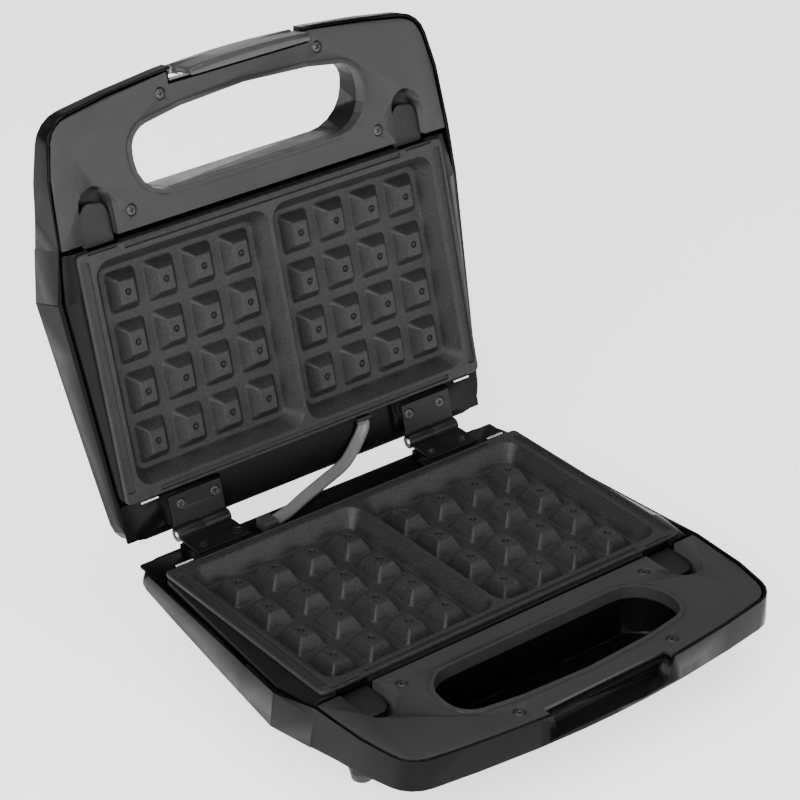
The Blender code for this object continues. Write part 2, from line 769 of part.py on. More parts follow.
def add_shell(half):
    shell = add_part(f"{half.name}_shell", half, shell_outer_mesh(half), "shell_black")
    cavity = add_tool("cavity", half, shell_cavity_mesh(half))
    combine(cavity, add_tool("notch_wall", half, notch_mesh(half, WALL, -PANEL - CLEARANCE)), "DIFFERENCE")
    combine(shell, cavity, "DIFFERENCE")
    deck, blocks, bosses, tube = shell_posts_mesh(half)
    combine(shell, add_tool("deck", half, deck), "UNION")
    combine(shell, add_tool("hinge_blocks", half, blocks), "UNION")
    posts = add_tool("bosses", half, bosses)
    combine(posts, add_tool("boss_trim", half, shell_outer_mesh(half, WALL / 4)), "INTERSECT")
    combine(shell, posts, "UNION")
    sleeve = add_tool("grip_tube", half, tube)
    combine(sleeve, add_tool("tube_trim", half, shell_outer_mesh(half, WALL / 4)), "INTERSECT")
    combine(shell, sleeve, "UNION")
    combine(shell, add_tool("notch", half, notch_mesh(half)), "DIFFERENCE")
    combine(shell, grip_cutter(half), "DIFFERENCE")
    combine(shell, add_tool("screw_holes", half, shell_holes_mesh(half)), "DIFFERENCE")
    return shell


def add_base_details(half, shell):
    """Catch for the latch, moulded legs and the boss for the cord inlet."""
    back = HANDLE_REACH - NOTCH_BACK
    tip = HANDLE_REACH - CATCH_TIP
    width = NOTCH_HALF_WIDTH - CATCH_SIDE
    rings = []
    for x in (-width, width):
        rings.append([
            (x, back - WALL / 2, -PANEL - CLEARANCE),
            (x, back + CATCH_RAMP, -PANEL - CLEARANCE),
            (x, tip, CATCH_LOW + CATCH_NOSE),
            (x, tip, CATCH_LOW),
            (x, back - WALL / 2, CATCH_LOW),
        ])
    bm = bmesh.new()
    add_loft(bm, rings)
    combine(shell, add_tool("catch", half, mesh_from(bm)), "UNION")
    legs = add_tool("legs", half, legs_mesh())
    combine(legs, add_tool("leg_trim", half, shell_cavity_mesh(half, WALL / 2)), "DIFFERENCE")
    combine(shell, legs, "UNION")
    face = SHELL_REAR + INLET_BOSS_STAND
    bm = bmesh.new()
    root = face + INLET_BOSS_LENGTH
    add_round(bm, (0, face, INLET_HEIGHT), (0, root, INLET_HEIGHT), INLET_BOSS, segments=20)
    combine(shell, add_tool("inlet_boss", half, mesh_from(bm)), "UNION")
    bm = bmesh.new()
    add_round(bm, (0, -CUT, INLET_HEIGHT), (0, root + CUT, INLET_HEIGHT), INLET_RADIUS + CLEARANCE)
    combine(shell, add_tool("inlet_hole", half, mesh_from(bm)), "DIFFERENCE")


def add_lid_details(half, shell):
    """Holes for the latch pin and for the two indicator lights."""
    bm = bmesh.new()
    end = LID_NOTCH_HALF_WIDTH + WALL + 0.004
    pivot = HANDLE_REACH - LATCH_PIVOT_BACK
    radius = LATCH_PIN_RADIUS + CLEARANCE
    add_round(bm, (-end, pivot, LATCH_PIVOT_HEIGHT), (end, pivot, LATCH_PIVOT_HEIGHT), radius, segments=10)
    for side in (-1, 1):
        x = side * LENS_X
        low = (x, LENS_REACH, -SHELL_DEPTH - CUT)
        high = (x, LENS_REACH, -SHELL_DEPTH + LENS_HOLE)
        add_round(bm, low, high, LENS_RADIUS + CLEARANCE)
    combine(shell, add_tool("pin_and_lens_holes", half, mesh_from(bm)), "DIFFERENCE")


# ---------------------------------------------------------------- plate frame, plate and heating

def tub_half_width():
    return PLATE_HALF_WIDTH - CAVITY_SIDE_RIM + CASTING


def tub_reach():
    return (PLATE_REAR + CAVITY_REAR_RIM - CASTING, PLATE_FRONT - CAVITY_FRONT_RIM + CASTING)


def cavity_floor():
    return PLATE_TOP - CAVITY_DEPTH


def tub_bottom():
    return cavity_floor() - CASTING


def add_plate_frame(half):
    def ring(inset, height):
        rear_x = frame_edge(FRAME_REAR) - inset
        corners = [
            (rear_x, FRAME_REAR + inset, 0.006),
            (frame_edge(KINK_REACH) - inset, KINK_REACH, 0.008),
            (frame_edge(FRAME_FRONT) - inset, FRAME_FRONT - min(inset, 0.0002), 0.001),
        ]
        points = []
        for x, reach in rounded(mirrored(corners)):
            if height == FRAME_LEDGE:
                x = math.copysign(min(abs(x), PLATE_HALF_WIDTH + LEDGE_OVERHANG), x)
            points.append((x, reach, height))
        return points

    bm = bmesh.new()
    add_loft(bm, [ring(0.0, FRAME_BOTTOM), ring(0.0, FRAME_EDGE), ring(FRAME_CHAMFER, FRAME_LEDGE)])
    frame = add_part(f"{half.name}_plate_frame", half, mesh_from(bm), "frame_black")
    rear, front = tub_reach()
    wide = tub_half_width() + FIT * 2
    height = (FRAME_BOTTOM - CUT, FRAME_LEDGE + CUT)
    bm = bmesh.new()
    add_box(bm, (-wide, wide), (rear - FIT * 2, front + FIT * 2), height)
    opening = mesh_from(bm)
    combine(frame, add_tool("frame_opening", half, opening), "DIFFERENCE")
    bm = bmesh.new()
    for side in (-1, 1):
        low, high = sorted((side * BUTTON_X - POCKET_HALF_WIDTH, side * BUTTON_X + POCKET_HALF_WIDTH))
        add_box(bm, (low, high), (front + 0.0025, FRAME_FRONT + CUT), height)
        low, high = sorted((side * CLIP_X - CLIP_HALF_WIDTH - FIT, side * CLIP_X + CLIP_HALF_WIDTH + FIT))
        add_box(bm, (low, high), (FRAME_REAR - CUT, PLATE_REAR + CLEARANCE), (FRAME_EDGE - 0.001, height[1]))
    combine(frame, add_tool("frame_notches", half, mesh_from(bm)), "DIFFERENCE")


def add_waffle_plate(half):
    flange_low = PLATE_TOP - FLANGE
    outline = rounded([
        (PLATE_HALF_WIDTH, PLATE_REAR, 0.003),
        (PLATE_HALF_WIDTH, PLATE_FRONT, 0.003),
        (-PLATE_HALF_WIDTH, PLATE_FRONT, 0.003),
        (-PLATE_HALF_WIDTH, PLATE_REAR, 0.003),
    ], steps=3)
    flange = prism_mesh(outline, (flange_low, PLATE_TOP))
    plate = add_part(f"{half.name}_waffle_plate", half, flange, "plate_coating")
    wide = tub_half_width()
    tub = box_mesh((-wide, wide), tub_reach(), (tub_bottom(), PLATE_TOP - FLANGE / 2))
    combine(plate, add_tool("tub", half, tub), "UNION")

    rim_x = (DIVIDER / 2, PLATE_HALF_WIDTH - CAVITY_SIDE_RIM)
    rim_reach = (PLATE_REAR + CAVITY_REAR_RIM, PLATE_FRONT - CAVITY_FRONT_RIM)
    bm = bmesh.new()
    for side in (-1, 1):
        rings = []
        for inset, height in ((CAVITY_DRAFT, cavity_floor()), (0.0, PLATE_TOP), (0.0, PLATE_TOP + CUT)):
            corner = CAVITY_CORNER - inset * 0.6
            low_x, high_x = rim_x[0] + inset, rim_x[1] - inset
            low_r, high_r = rim_reach[0] + inset, rim_reach[1] - inset
            corners = [(high_x, low_r, corner), (high_x, high_r, corner),
                       (low_x, high_r, corner), (low_x, low_r, corner)]
            rings.append([(side * x, reach, height) for x, reach in rounded(corners, steps=3)])
        add_loft(bm, rings)
    combine(plate, add_tool("cavities", half, mesh_from(bm)), "DIFFERENCE")

    bm = bmesh.new()
    floor_x = (rim_x[0] + CAVITY_DRAFT, rim_x[1] - CAVITY_DRAFT)
    floor_reach = (rim_reach[0] + CAVITY_DRAFT, rim_reach[1] - CAVITY_DRAFT)
    pitch_x = (floor_x[1] - floor_x[0]) / PEG_COLUMNS
    pitch_reach = (floor_reach[1] - floor_reach[0]) / PEG_ROWS
    lean = PEG_DRAFT / PEG_HEIGHT
    for side in (-1, 1):
        for column in range(PEG_COLUMNS):
            for row in range(PEG_ROWS):
                x = side * (floor_x[0] + pitch_x * (column + 0.5))
                reach = floor_reach[0] + pitch_reach * (row + 0.5)
                rings = []
                for rise in (-PEG_ROOT, PEG_HEIGHT):
                    dx = (pitch_x - PEG_GROOVE) / 2 - rise * lean
                    dr = (pitch_reach - PEG_GROOVE) / 2 - rise * lean
                    height = cavity_floor() + rise
                    rings.append([(x + dx, reach - dr, height), (x + dx, reach + dr, height),
                                  (x - dx, reach + dr, height), (x - dx, reach - dr, height)])
                add_loft(bm, rings)
    combine(plate, add_tool("pegs", half, mesh_from(bm)), "UNION")

    bm = bmesh.new()
    groove = (PLATE_TOP - GROOVE_DEPTH, PLATE_TOP + CUT)
    gutter = (PLATE_HALF_WIDTH - SIDE_GROOVE[0], PLATE_HALF_WIDTH - SIDE_GROOVE[1])
    for side in (-1, 1):
        low, high = sorted((side * gutter[0], side * gutter[1]))
        add_box(bm, (low, high), (PLATE_REAR + 0.006, PLATE_FRONT - 0.005), groove)
    wide = PLATE_HALF_WIDTH - REAR_GROOVE_END
    add_box(bm, (-wide, wide), (PLATE_REAR + REAR_GROOVE[0], PLATE_REAR + REAR_GROOVE[1]), groove)
    wide = PLATE_HALF_WIDTH - FRONT_GROOVE_END
    add_box(bm, (-wide, wide), (PLATE_FRONT - FRONT_GROOVE[0], PLATE_FRONT - FRONT_GROOVE[1]), groove)
    combine(plate, add_tool("plate_grooves", half, mesh_from(bm)), "DIFFERENCE")


def element_height():
    return tub_bottom() - ELEMENT_GAP - ELEMENT_RADIUS


def add_heating(half):
    """Tubular element bent round under the plate, in a steel reflector tray."""
    rear, front = tub_reach()
    wide = tub_half_width() - ELEMENT_SIDE
    near, far = rear + ELEMENT_END, front - ELEMENT_END
    corners = [(wide, near, ELEMENT_BEND), (wide, far, ELEMENT_BEND),
               (-wide, far, ELEMENT_BEND), (-wide, near, ELEMENT_BEND)]
    path = [(ELEMENT_LEAD, near)] + rounded(corners, steps=5) + [(-ELEMENT_LEAD, near)]
    points = [(x, reach, element_height()) for x, reach in path]
    name = half.name
    add_part(f"{name}_heating_element", half, wire_mesh(points, ELEMENT_RADIUS, 2), "element_steel")
    side = tub_half_width() - REFLECTOR_SIDE
    reach = (rear + REFLECTOR_END, front - REFLECTOR_END)
    top = tub_bottom() - REFLECTOR_GAP
    low = top - REFLECTOR_DEPTH
    outside = box_mesh((-side, side), reach, (low, top))
    tray = add_part(f"{name}_heat_reflector", half, outside, "reflector_steel")
    inside = box_mesh(
        (REFLECTOR - side, side - REFLECTOR),
        (reach[0] + REFLECTOR, reach[1] - REFLECTOR),
        (low + REFLECTOR, top + CUT),
    )
    combine(tray, add_tool("reflector_inside", half, inside), "DIFFERENCE")


def add_clips(half):
    """Bent steel tongues that hold the plate's hinge side."""
    for side, word in ((-1, "left"), (1, "right")):
        x = side * CLIP_X * half.flip
        reach = (PLATE_REAR - CLEARANCE - CLIP, PLATE_REAR - CLEARANCE)
        height = (FRAME_EDGE - 0.0006, PLATE_TOP + 0.0004)
        mesh = box_mesh((x - CLIP_HALF_WIDTH, x + CLIP_HALF_WIDTH), reach, height)
        clip = add_part(f"{half.name}_plate_clip_{word}", half, mesh, "bright_steel")
        bevel = clip.modifiers.new("bevel", "BEVEL")
        bevel.width = 0.0003
        bevel.segments = 1


# ---------------------------------------------------------------- handle panel and buttons

def add_handle_panel(half):
    outline = rounded(panel_corners())
    panel = add_part(f"{half.name}_handle_panel", half, prism_mesh(outline, (-PANEL, 0.0)), "panel_black")
    lip = prism_mesh(grip_outline(GRIP_LIP), (-GRIP_COLLAR, GRIP_LIP_RISE))
    combine(panel, add_tool("grip_lip", half, lip), "UNION")
    bm = bmesh.new()
    cup = POCKET_HALF_WIDTH + POCKET_WALL
    for side in (-1, 1):
        outline = tongue_outline(cup, PANEL_REAR, POCKET_APEX + POCKET_WALL, side * BUTTON_X)
        add_prism(bm, outline, (POCKET_FLOOR - POCKET_WALL, -PANEL / 2))
    combine(panel, add_tool("button_cups", half, mesh_from(bm)), "UNION")
    grip = prism_mesh(grip_outline(), (-GRIP_COLLAR - CUT, CUT))
    combine(panel, add_tool("panel_grip", half, grip), "DIFFERENCE")
    bm = bmesh.new()
    for side in (-1, 1):
        outline = tongue_outline(POCKET_HALF_WIDTH, PANEL_REAR - CUT, POCKET_APEX, side * BUTTON_X)
        add_prism(bm, outline, (POCKET_FLOOR, CUT))
    combine(panel, add_tool("button_pockets", half, mesh_from(bm)), "DIFFERENCE")
    bm = bmesh.new()
    for side in (-1, 1):
        x = side * BUTTON_X
        height = (POCKET_FLOOR - POCKET_WALL / 2, BUTTON_TOP - BUTTON_SKIN - POST_GAP)
        add_box(bm, (x - SPRING_POST_HALF_WIDTH, x + SPRING_POST_HALF_WIDTH), spring_post(), height)
    combine(panel, add_tool("spring_posts", half, mesh_from(bm)), "UNION")
    bm = bmesh.new()
    for x, reach in boss_points(half):
        rings = []
        for radius, height in panel_hole_steps():
            rings.append([(x + radius * math.cos(turn), reach + radius * math.sin(turn), height)
                          for turn in (2 * math.pi * i / 16 for i in range(16))])
        add_loft(bm, rings)
    combine(panel, add_tool("panel_screw_holes", half, mesh_from(bm)), "DIFFERENCE")
    step = half.panel_step
    wide = NOTCH_HALF_WIDTH if not half.through else LID_NOTCH_HALF_WIDTH + WALL
    cut = box_mesh((-wide, wide), (HANDLE_REACH - step, HANDLE_REACH + 0.02), (-PANEL - CUT, CUT))
    combine(panel, add_tool("panel_step", half, cut), "DIFFERENCE")


def panel_hole_steps():
    """Radius and height of each step of a screw's hole through the panel, from below."""
    shank = SCREW_SHANK + CLEARANCE
    head = SCREW_HEAD + HEAD_GAP
    return [(shank, -PANEL - CUT), (shank, -COUNTERBORE), (head, -COUNTERBORE), (head, CUT)]


def spring_post():
    """The post in the pocket that the button's spring pushes against."""
    rear = BUTTON_APEX - SPRING_POST_BACK
    return (rear, rear + SPRING_POST)


def button_leg():
    front = PANEL_REAR + BUTTON_LEG_REACH
    return (front - SPRING_LEG, front)


def add_buttons(half):
    rear = PLATE_FRONT + FIT
    for side, word in ((-1, "left"), (1, "right")):
        x = side * BUTTON_X * half.flip
        cover_low = BUTTON_TOP - BUTTON_SKIN
        foot = POCKET_FLOOR + FIT
        outline = tongue_outline(BUTTON_HALF_WIDTH, rear, BUTTON_APEX, x)
        name = f"{half.name}_button_{word}"
        button = add_part(name, half, prism_mesh(outline, (cover_low, BUTTON_TOP)), "button_black")
        bm = bmesh.new()
        straight = (PANEL_REAR, BUTTON_APEX - BUTTON_HALF_WIDTH)
        for edge in (-1, 1):
            skirt = (BUTTON_HALF_WIDTH - 0.0001, BUTTON_HALF_WIDTH - BUTTON_SKIRT)
            low, high = sorted(x + edge * offset for offset in skirt)
            add_box(bm, (low, high), straight, (foot, cover_low + BUTTON_SKIN / 2))
        leg_x = (x - SPRING_LEG_HALF_WIDTH, x + SPRING_LEG_HALF_WIDTH)
        add_box(bm, leg_x, button_leg(), (foot, cover_low + BUTTON_SKIN / 2))
        combine(button, add_tool(f"button_legs_{word}", half, mesh_from(bm)), "UNION")
        start = button_leg()[1] + CLEARANCE + SPRING_WIRE
        end = spring_post()[0] - CLEARANCE - SPRING_WIRE
        height = (foot + cover_low) / 2
        coil = coil_points(SPRING_TURNS, SPRING_RADIUS, end - start)
        points = [(x + a, start + along, height + b) for along, a, b in coil]
        add_part(f"{half.name}_button_spring_{word}", half, wire_mesh(points, SPRING_WIRE, 1), "spring_steel")


def add_handle_screws(half):
    for number, (x, reach) in enumerate(boss_points(half), 1):
        seat = -COUNTERBORE + CLEARANCE
        top = seat + SCREW_HEAD_HEIGHT - CLEARANCE
        profile = [(0.0, top), (SCREW_HEAD, top), (SCREW_HEAD, seat), (SCREW_SHANK, seat),
                   (SCREW_SHANK, -SCREW_LENGTH), (0.0, -SCREW_LENGTH)]
        add_turned(f"{half.name}_handle_screw_{number}", half, profile, (x, reach, 0.0), "screw_black")


# ---------------------------------------------------------------- hinge

def add_hinge(half):
    """A leaf on each side; the base carries the outer knuckles and the lid the inner ones."""
    knuckle_split = (LEAF_INNER + LEAF_OUTER) / 2
    for side, word in ((-1, "left"), (1, "right")):
        facing = side * half.flip
        if half.name == "base":
            knuckle = (knuckle_split + CLEARANCE / 2, LEAF_OUTER)
        else:
            knuckle = (LEAF_INNER, knuckle_split - CLEARANCE / 2)
        ends = sorted(facing * x for x in (LEAF_INNER, LEAF_OUTER))
        plate_rear = AXIS_REACH + KNUCKLE_RADIUS + LEAF_REAR_GAP
        mesh = box_mesh(ends, (plate_rear, LEAF_FRONT), (LEAF_TOP - LEAF, LEAF_TOP))
        leaf = add_part(f"{half.name}_hinge_leaf_{word}", half, mesh, "hinge_black")
        barrel = sorted(facing * x for x in knuckle)
        bm = bmesh.new()
        low = (barrel[0], AXIS_REACH, AXIS_HEIGHT)
        high = (barrel[1], AXIS_REACH, AXIS_HEIGHT)
        add_round(bm, low, high, KNUCKLE_RADIUS, segments=20)
        combine(leaf, add_tool(f"knuckle_{word}", half, mesh_from(bm)), "UNION")
        web = box_mesh(
            (barrel[0] + 0.0001, barrel[1] - 0.0001),
            (AXIS_REACH + KNUCKLE_RADIUS * 0.6, plate_rear + 0.001),
            (LEAF_TOP - LEAF + 0.0001, LEAF_TOP - 0.0001),
        )
        combine(leaf, add_tool(f"web_{word}", half, web), "UNION")
        bm = bmesh.new()
        low = (ends[0] - CUT, AXIS_REACH, AXIS_HEIGHT)
        high = (ends[1] + CUT, AXIS_REACH, AXIS_HEIGHT)
        add_round(bm, low, high, PIN_RADIUS + CLEARANCE, segments=12)
        for x, reach in hinge_screw_points():
            if x * facing > 0:
                bottom = (x, reach, LEAF_TOP - LEAF - 0.0002)
                top = (x, reach, LEAF_TOP + 0.0002)
                add_round(bm, bottom, top, SCREW_SHANK + CLEARANCE, HINGE_SCREW_HEAD + HEAD_GAP, segments=12)
        combine(leaf, add_tool(f"leaf_holes_{word}", half, mesh_from(bm)), "DIFFERENCE")
    for number, (x, reach) in enumerate(hinge_screw_points(), 1):
        top = LEAF_TOP - 0.0001
        neck = LEAF_TOP - LEAF
        shank = SCREW_SHANK - 0.0001
        tip = top - HINGE_SCREW_LENGTH + BLIND
        profile = [(0.0, top), (HINGE_SCREW_HEAD, top), (shank, neck), (shank, tip), (0.0, tip)]
        add_turned(f"{half.name}_hinge_screw_{number}", half, profile, (x, reach, 0.0), "screw_black")


def add_hinge_pins(half):
    for side, word in ((-1, "left"), (1, "right")):
        bm = bmesh.new()
        low = (side * (LEAF_INNER + CLEARANCE), AXIS_REACH, AXIS_HEIGHT)
        high = (side * (LEAF_OUTER - CLEARANCE), AXIS_REACH, AXIS_HEIGHT)
        add_round(bm, low, high, PIN_RADIUS, segments=12)
        add_part(f"hinge_pin_{word}", half, mesh_from(bm), "bright_steel")


# ---------------------------------------------------------------- latch

def add_latch(half):
    """A bowed plate with a barb at its free end, turning on a pin across the lid's recess."""
    inner = HANDLE_REACH - LATCH_BACK_STAND
    face = HANDLE_REACH + LATCH_FACE
    pivot = HANDLE_REACH - LATCH_PIVOT_BACK
    rings = []
    for i in range(LATCH_STEPS + 1):
        x = LATCH_HALF_WIDTH * (2 * i / LATCH_STEPS - 1)
        bow = FRONT_BOW * x * x
        rings.append([
            (x, inner, LATCH_LOW),
            (x, face - bow - LATCH_EDGE[0], LATCH_LOW),
            (x, face - bow, LATCH_LOW + LATCH_EDGE[1]),
            (x, face - bow, LATCH_HIGH - LATCH_BROW_LOW),
            (x, face - bow - LATCH_BROW[0][0], LATCH_HIGH - LATCH_BROW[0][1]),
            (x, face - bow - LATCH_BROW[1][0], LATCH_HIGH - LATCH_BROW[1][1]),
            (x, inner - BARB, LATCH_HIGH),
            (x, inner - BARB, BARB_LOW + 0.0001),
            (x, inner, BARB_LOW),
            (x, inner, BARB_LOW - BARB_ROOT),
        ])
    bm = bmesh.new()
    add_loft(bm, rings)
    latch = add_part("lid_latch", half, mesh_from(bm), "latch_grey")
    bm = bmesh.new()
    end = LATCH_HALF_WIDTH - 0.0001
    low = (-end, pivot, LATCH_PIVOT_HEIGHT)
    high = (end, pivot, LATCH_PIVOT_HEIGHT)
    add_round(bm, low, high, LATCH_BOSS, segments=14)
    combine(latch, add_tool("latch_boss", half, mesh_from(bm)), "UNION")
    bm = bmesh.new()
    far = LATCH_HALF_WIDTH + CUT
    low = (-far, pivot, LATCH_PIVOT_HEIGHT)
    high = (far, pivot, LATCH_PIVOT_HEIGHT)
    add_round(bm, low, high, LATCH_PIN_RADIUS + CLEARANCE, segments=10)
    combine(latch, add_tool("latch_bore", half, mesh_from(bm)), "DIFFERENCE")
    bm = bmesh.new()
    reach = LID_NOTCH_HALF_WIDTH + WALL - CLEARANCE
    low = (-reach, pivot, LATCH_PIVOT_HEIGHT)
    high = (reach, pivot, LATCH_PIVOT_HEIGHT)
    add_round(bm, low, high, LATCH_PIN_RADIUS, segments=10)
    pin = add_part("latch_pin", half, mesh_from(bm), "bright_steel")
    set_origin(pin, 0.0, pivot, LATCH_PIVOT_HEIGHT)
    room = CLEARANCE + SPRING_WIRE + LATCH_SPRING_GAP
    radius = LATCH_PIN_RADIUS + room
    start = LATCH_HALF_WIDTH + room
    length = LID_NOTCH_HALF_WIDTH - room - start
    turns = coil_points(LATCH_SPRING_TURNS, radius, length)
    coil = [(start + along, pivot + a, LATCH_PIVOT_HEIGHT + b) for along, a, b in turns]
    lean = (start, pivot - radius, LATCH_PIVOT_HEIGHT + LATCH_SPRING_LEGS[0])
    tail = (start + length, pivot - radius, LATCH_PIVOT_HEIGHT + LATCH_SPRING_LEGS[1])
    points = [lean, (start, pivot - radius, LATCH_PIVOT_HEIGHT)] + coil[4:] + [tail]
    add_part("latch_spring", half, wire_mesh(points, SPRING_WIRE, 1), "spring_steel")


# ---------------------------------------------------------------- feet, cable, thermostat, lights, inlet

def add_feet(half):
    top = -SHELL_DEPTH - CLEARANCE
    for place_name, (x, reach) in (("front", FRONT_FOOT), ("rear", REAR_FOOT)):
        for side, word in ((-1, "left"), (1, "right")):
            profile = [(0.0, top), (FOOT_TOP, top), (FOOT_TOP, top - FOOT_RIM),
                       (FOOT_BOTTOM, top - FOOT_HEIGHT), (0.0, top - FOOT_HEIGHT)]
            place = (side * x, reach, 0.0)
            add_turned(f"foot_{place_name}_{word}", half, profile, place, "rubber_black", steps=16)


def gland_height():
    """Middle height of the cable where it leaves a gland on the deck."""
    return -DECK_DEPTH + CLEARANCE + CABLE_RADIUS


def add_glands(base, lid):
    low = -DECK_DEPTH + CLEARANCE
    x, reach = BASE_GLAND
    height = (low, low + GLAND_HEIGHT)
    gland_x = (-x - BASE_GLAND_LENGTH, -x - GLAND_STAND)
    mesh = box_mesh(gland_x, (reach - GLAND_HALF_WIDTH, reach + GLAND_HALF_WIDTH), height)
    add_part("base_cable_gland", base, mesh, "rubber_black")
    x, reach = LID_GLAND
    x = x * lid.flip
    front = FRAME_REAR - CLEARANCE
    mesh = box_mesh((x - GLAND_HALF_WIDTH, x + GLAND_HALF_WIDTH), (reach + GLAND_STAND, front), height)
    add_part("lid_cable_gland", lid, mesh, "rubber_black")


def lid_to_base(x, reach, height):
    """A point of the open lid, in the base's half frame."""
    away = Vector((-x, -(reach - AXIS_REACH), height - AXIS_HEIGHT))
    turned = lid_rotation() @ away
    return (turned.x, AXIS_REACH - turned.y, AXIS_HEIGHT + turned.z)


def add_link_cable(base, lid):
    """The lead between the halves: out of the lid, down past the hinge line and along the deck."""
    h = gland_height()
    lid_x, lid_reach = LID_GLAND
    start = lid_to_base(lid_x, lid_reach, h)
    leave = lid_to_base(lid_x, lid_reach - CABLE_STUB, h)
    x, reach = BASE_GLAND
    route = [
        start,
        leave,
        (0.0316, -0.0045, 0.0118),
        (0.0192, 0.0000, 0.0043),
        (0.0010, 0.0048, 0.0016),
        (-0.0160, 0.0098, 0.0001),
        (-0.0300, 0.0148, -0.0009),
        (-x, reach, h),
    ]
    points = smooth_route(route)
    add_part("link_cable", base, wire_mesh(points, CABLE_RADIUS, 2), "cable_grey")


def add_thermostat(half):
    x, reach = THERMOSTAT
    top = tub_bottom() - REFLECTOR_GAP - REFLECTOR_DEPTH - CLEARANCE
    bm = bmesh.new()
    add_round(bm, (x, reach, top - THERMOSTAT_HEIGHT), (x, reach, top), THERMOSTAT_RADIUS, segments=20)
    body = add_part("thermostat", half, mesh_from(bm), "ceramic_white")
    bm = bmesh.new()
    for side in (-1, 1):
        tab = x + side * TAB_SPACING
        tab_x = (tab - TAB[0], tab + TAB[0])
        add_box(bm, tab_x, (reach - TAB[1], reach + TAB[1]), (top - TAB_ENDS[0], top - TAB_ENDS[1]))
    combine(body, add_tool("thermostat_tabs", half, mesh_from(bm)), "UNION")


def add_lenses(half):
    for side, word, finish in ((-1, "power_lens", "lens_red"), (1, "ready_lens", "lens_green")):
        low = -SHELL_DEPTH - LENS_STAND
        collar = -SHELL_DEPTH + WALL + CLEARANCE
        top = collar + LENS_COLLAR[1]
        wide = LENS_RADIUS + LENS_COLLAR[0]
        profile = [(0.0, top), (wide, top), (wide, collar), (LENS_RADIUS, collar),
                   (LENS_RADIUS, low + LENS_CHAMFER[1]), (LENS_RADIUS - LENS_CHAMFER[0], low), (0.0, low)]
        x = side * LENS_X * half.flip
        add_turned(word, half, profile, (x, LENS_REACH, 0.0), finish, steps=16)


def add_cord_inlet(half):
    """Flanged bush in the rear wall where the power cord enters."""
    face = SHELL_REAR + INLET_BOSS_STAND
    outer = SHELL_REAR - INLET_STAND
    bm = bmesh.new()
    inner = face + INLET_LENGTH
    add_round(bm, (0, outer, INLET_HEIGHT), (0, inner, INLET_HEIGHT), INLET_RADIUS, segments=20)
    bush = add_part("cord_inlet", half, mesh_from(bm), "rubber_black")
    bm = bmesh.new()
    low = (0, outer - INLET_FLANGE[0], INLET_HEIGHT)
    high = (0, SHELL_REAR - CLEARANCE, INLET_HEIGHT)
    add_round(bm, low, high, INLET_RADIUS + INLET_FLANGE[1], segments=20)
    combine(bush, add_tool("inlet_flange", half, mesh_from(bm)), "UNION")
    bm = bmesh.new()
    add_round(bm, (0, -CUT, INLET_HEIGHT), (0, inner + CUT, INLET_HEIGHT), INLET_BORE, segments=12)
    combine(bush, add_tool("inlet_bore", half, mesh_from(bm)), "DIFFERENCE")


# ---------------------------------------------------------------- assembly

def lid_rotation():
    """Turns the half frame over and swings it open from closed, about the hinge axis."""
    over = Matrix.Rotation(math.pi, 4, "Y")
    swing = Matrix.Rotation(-OPEN_ANGLE, 4, "X")
    return swing @ over


def add_half(half):
    shell = add_shell(half)
    add_plate_frame(half)
    add_waffle_plate(half)
    add_heating(half)
    add_clips(half)
    add_handle_panel(half)
    add_buttons(half)
    add_handle_screws(half)
    add_hinge(half)
    return shell


def stand_on_floor(root):
    """Moves everything so that the origin is under the middle of the model, on the floor."""
    bpy.context.view_layer.update()
    graph = bpy.context.evaluated_depsgraph_get()
    corners = []
    for obj in PARTS.objects:
        if obj.type == "MESH":
            mesh = obj.evaluated_get(graph).to_mesh()
            corners += [obj.matrix_world @ vert.co for vert in mesh.vertices]
            obj.evaluated_get(graph).to_mesh_clear()
    ys = [corner.y for corner in corners]
    root.location = (0.0, -(min(ys) + max(ys)) / 2, -min(corner.z for corner in corners))


clear_scene()
PARTS = make_collection("waffle_maker")
CUTTERS = make_collection("cutters")
root = make_empty("waffle_maker_origin", (0.0, 0.0, 0.0))
base_axis = make_empty("base_frame", (0.0, 0.0, 0.0))
lid_axis = make_empty("lid_hinge_axis", (0.0, 0.0, 0.0), lid_rotation())
base_axis.parent = root
lid_axis.parent = root
base = Half("base", base_axis, 1, BASE_FRONT_WAIST, False, PANEL_STEP, NOTCH_HALF_WIDTH)
lid = Half("lid", lid_axis, -1, LID_FRONT_WAIST, True, LID_PANEL_STEP, LID_NOTCH_HALF_WIDTH)
add_base_details(base, add_half(base))
add_lid_details(lid, add_half(lid))
add_hinge_pins(base)
add_latch(lid)
add_feet(base)
add_glands(base, lid)
add_link_cable(base, lid)
add_thermostat(base)
add_lenses(lid)
add_cord_inlet(base)
stand_on_floor(root)
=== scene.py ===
import json
import math

import bmesh
import bpy
from mathutils import Matrix, Vector


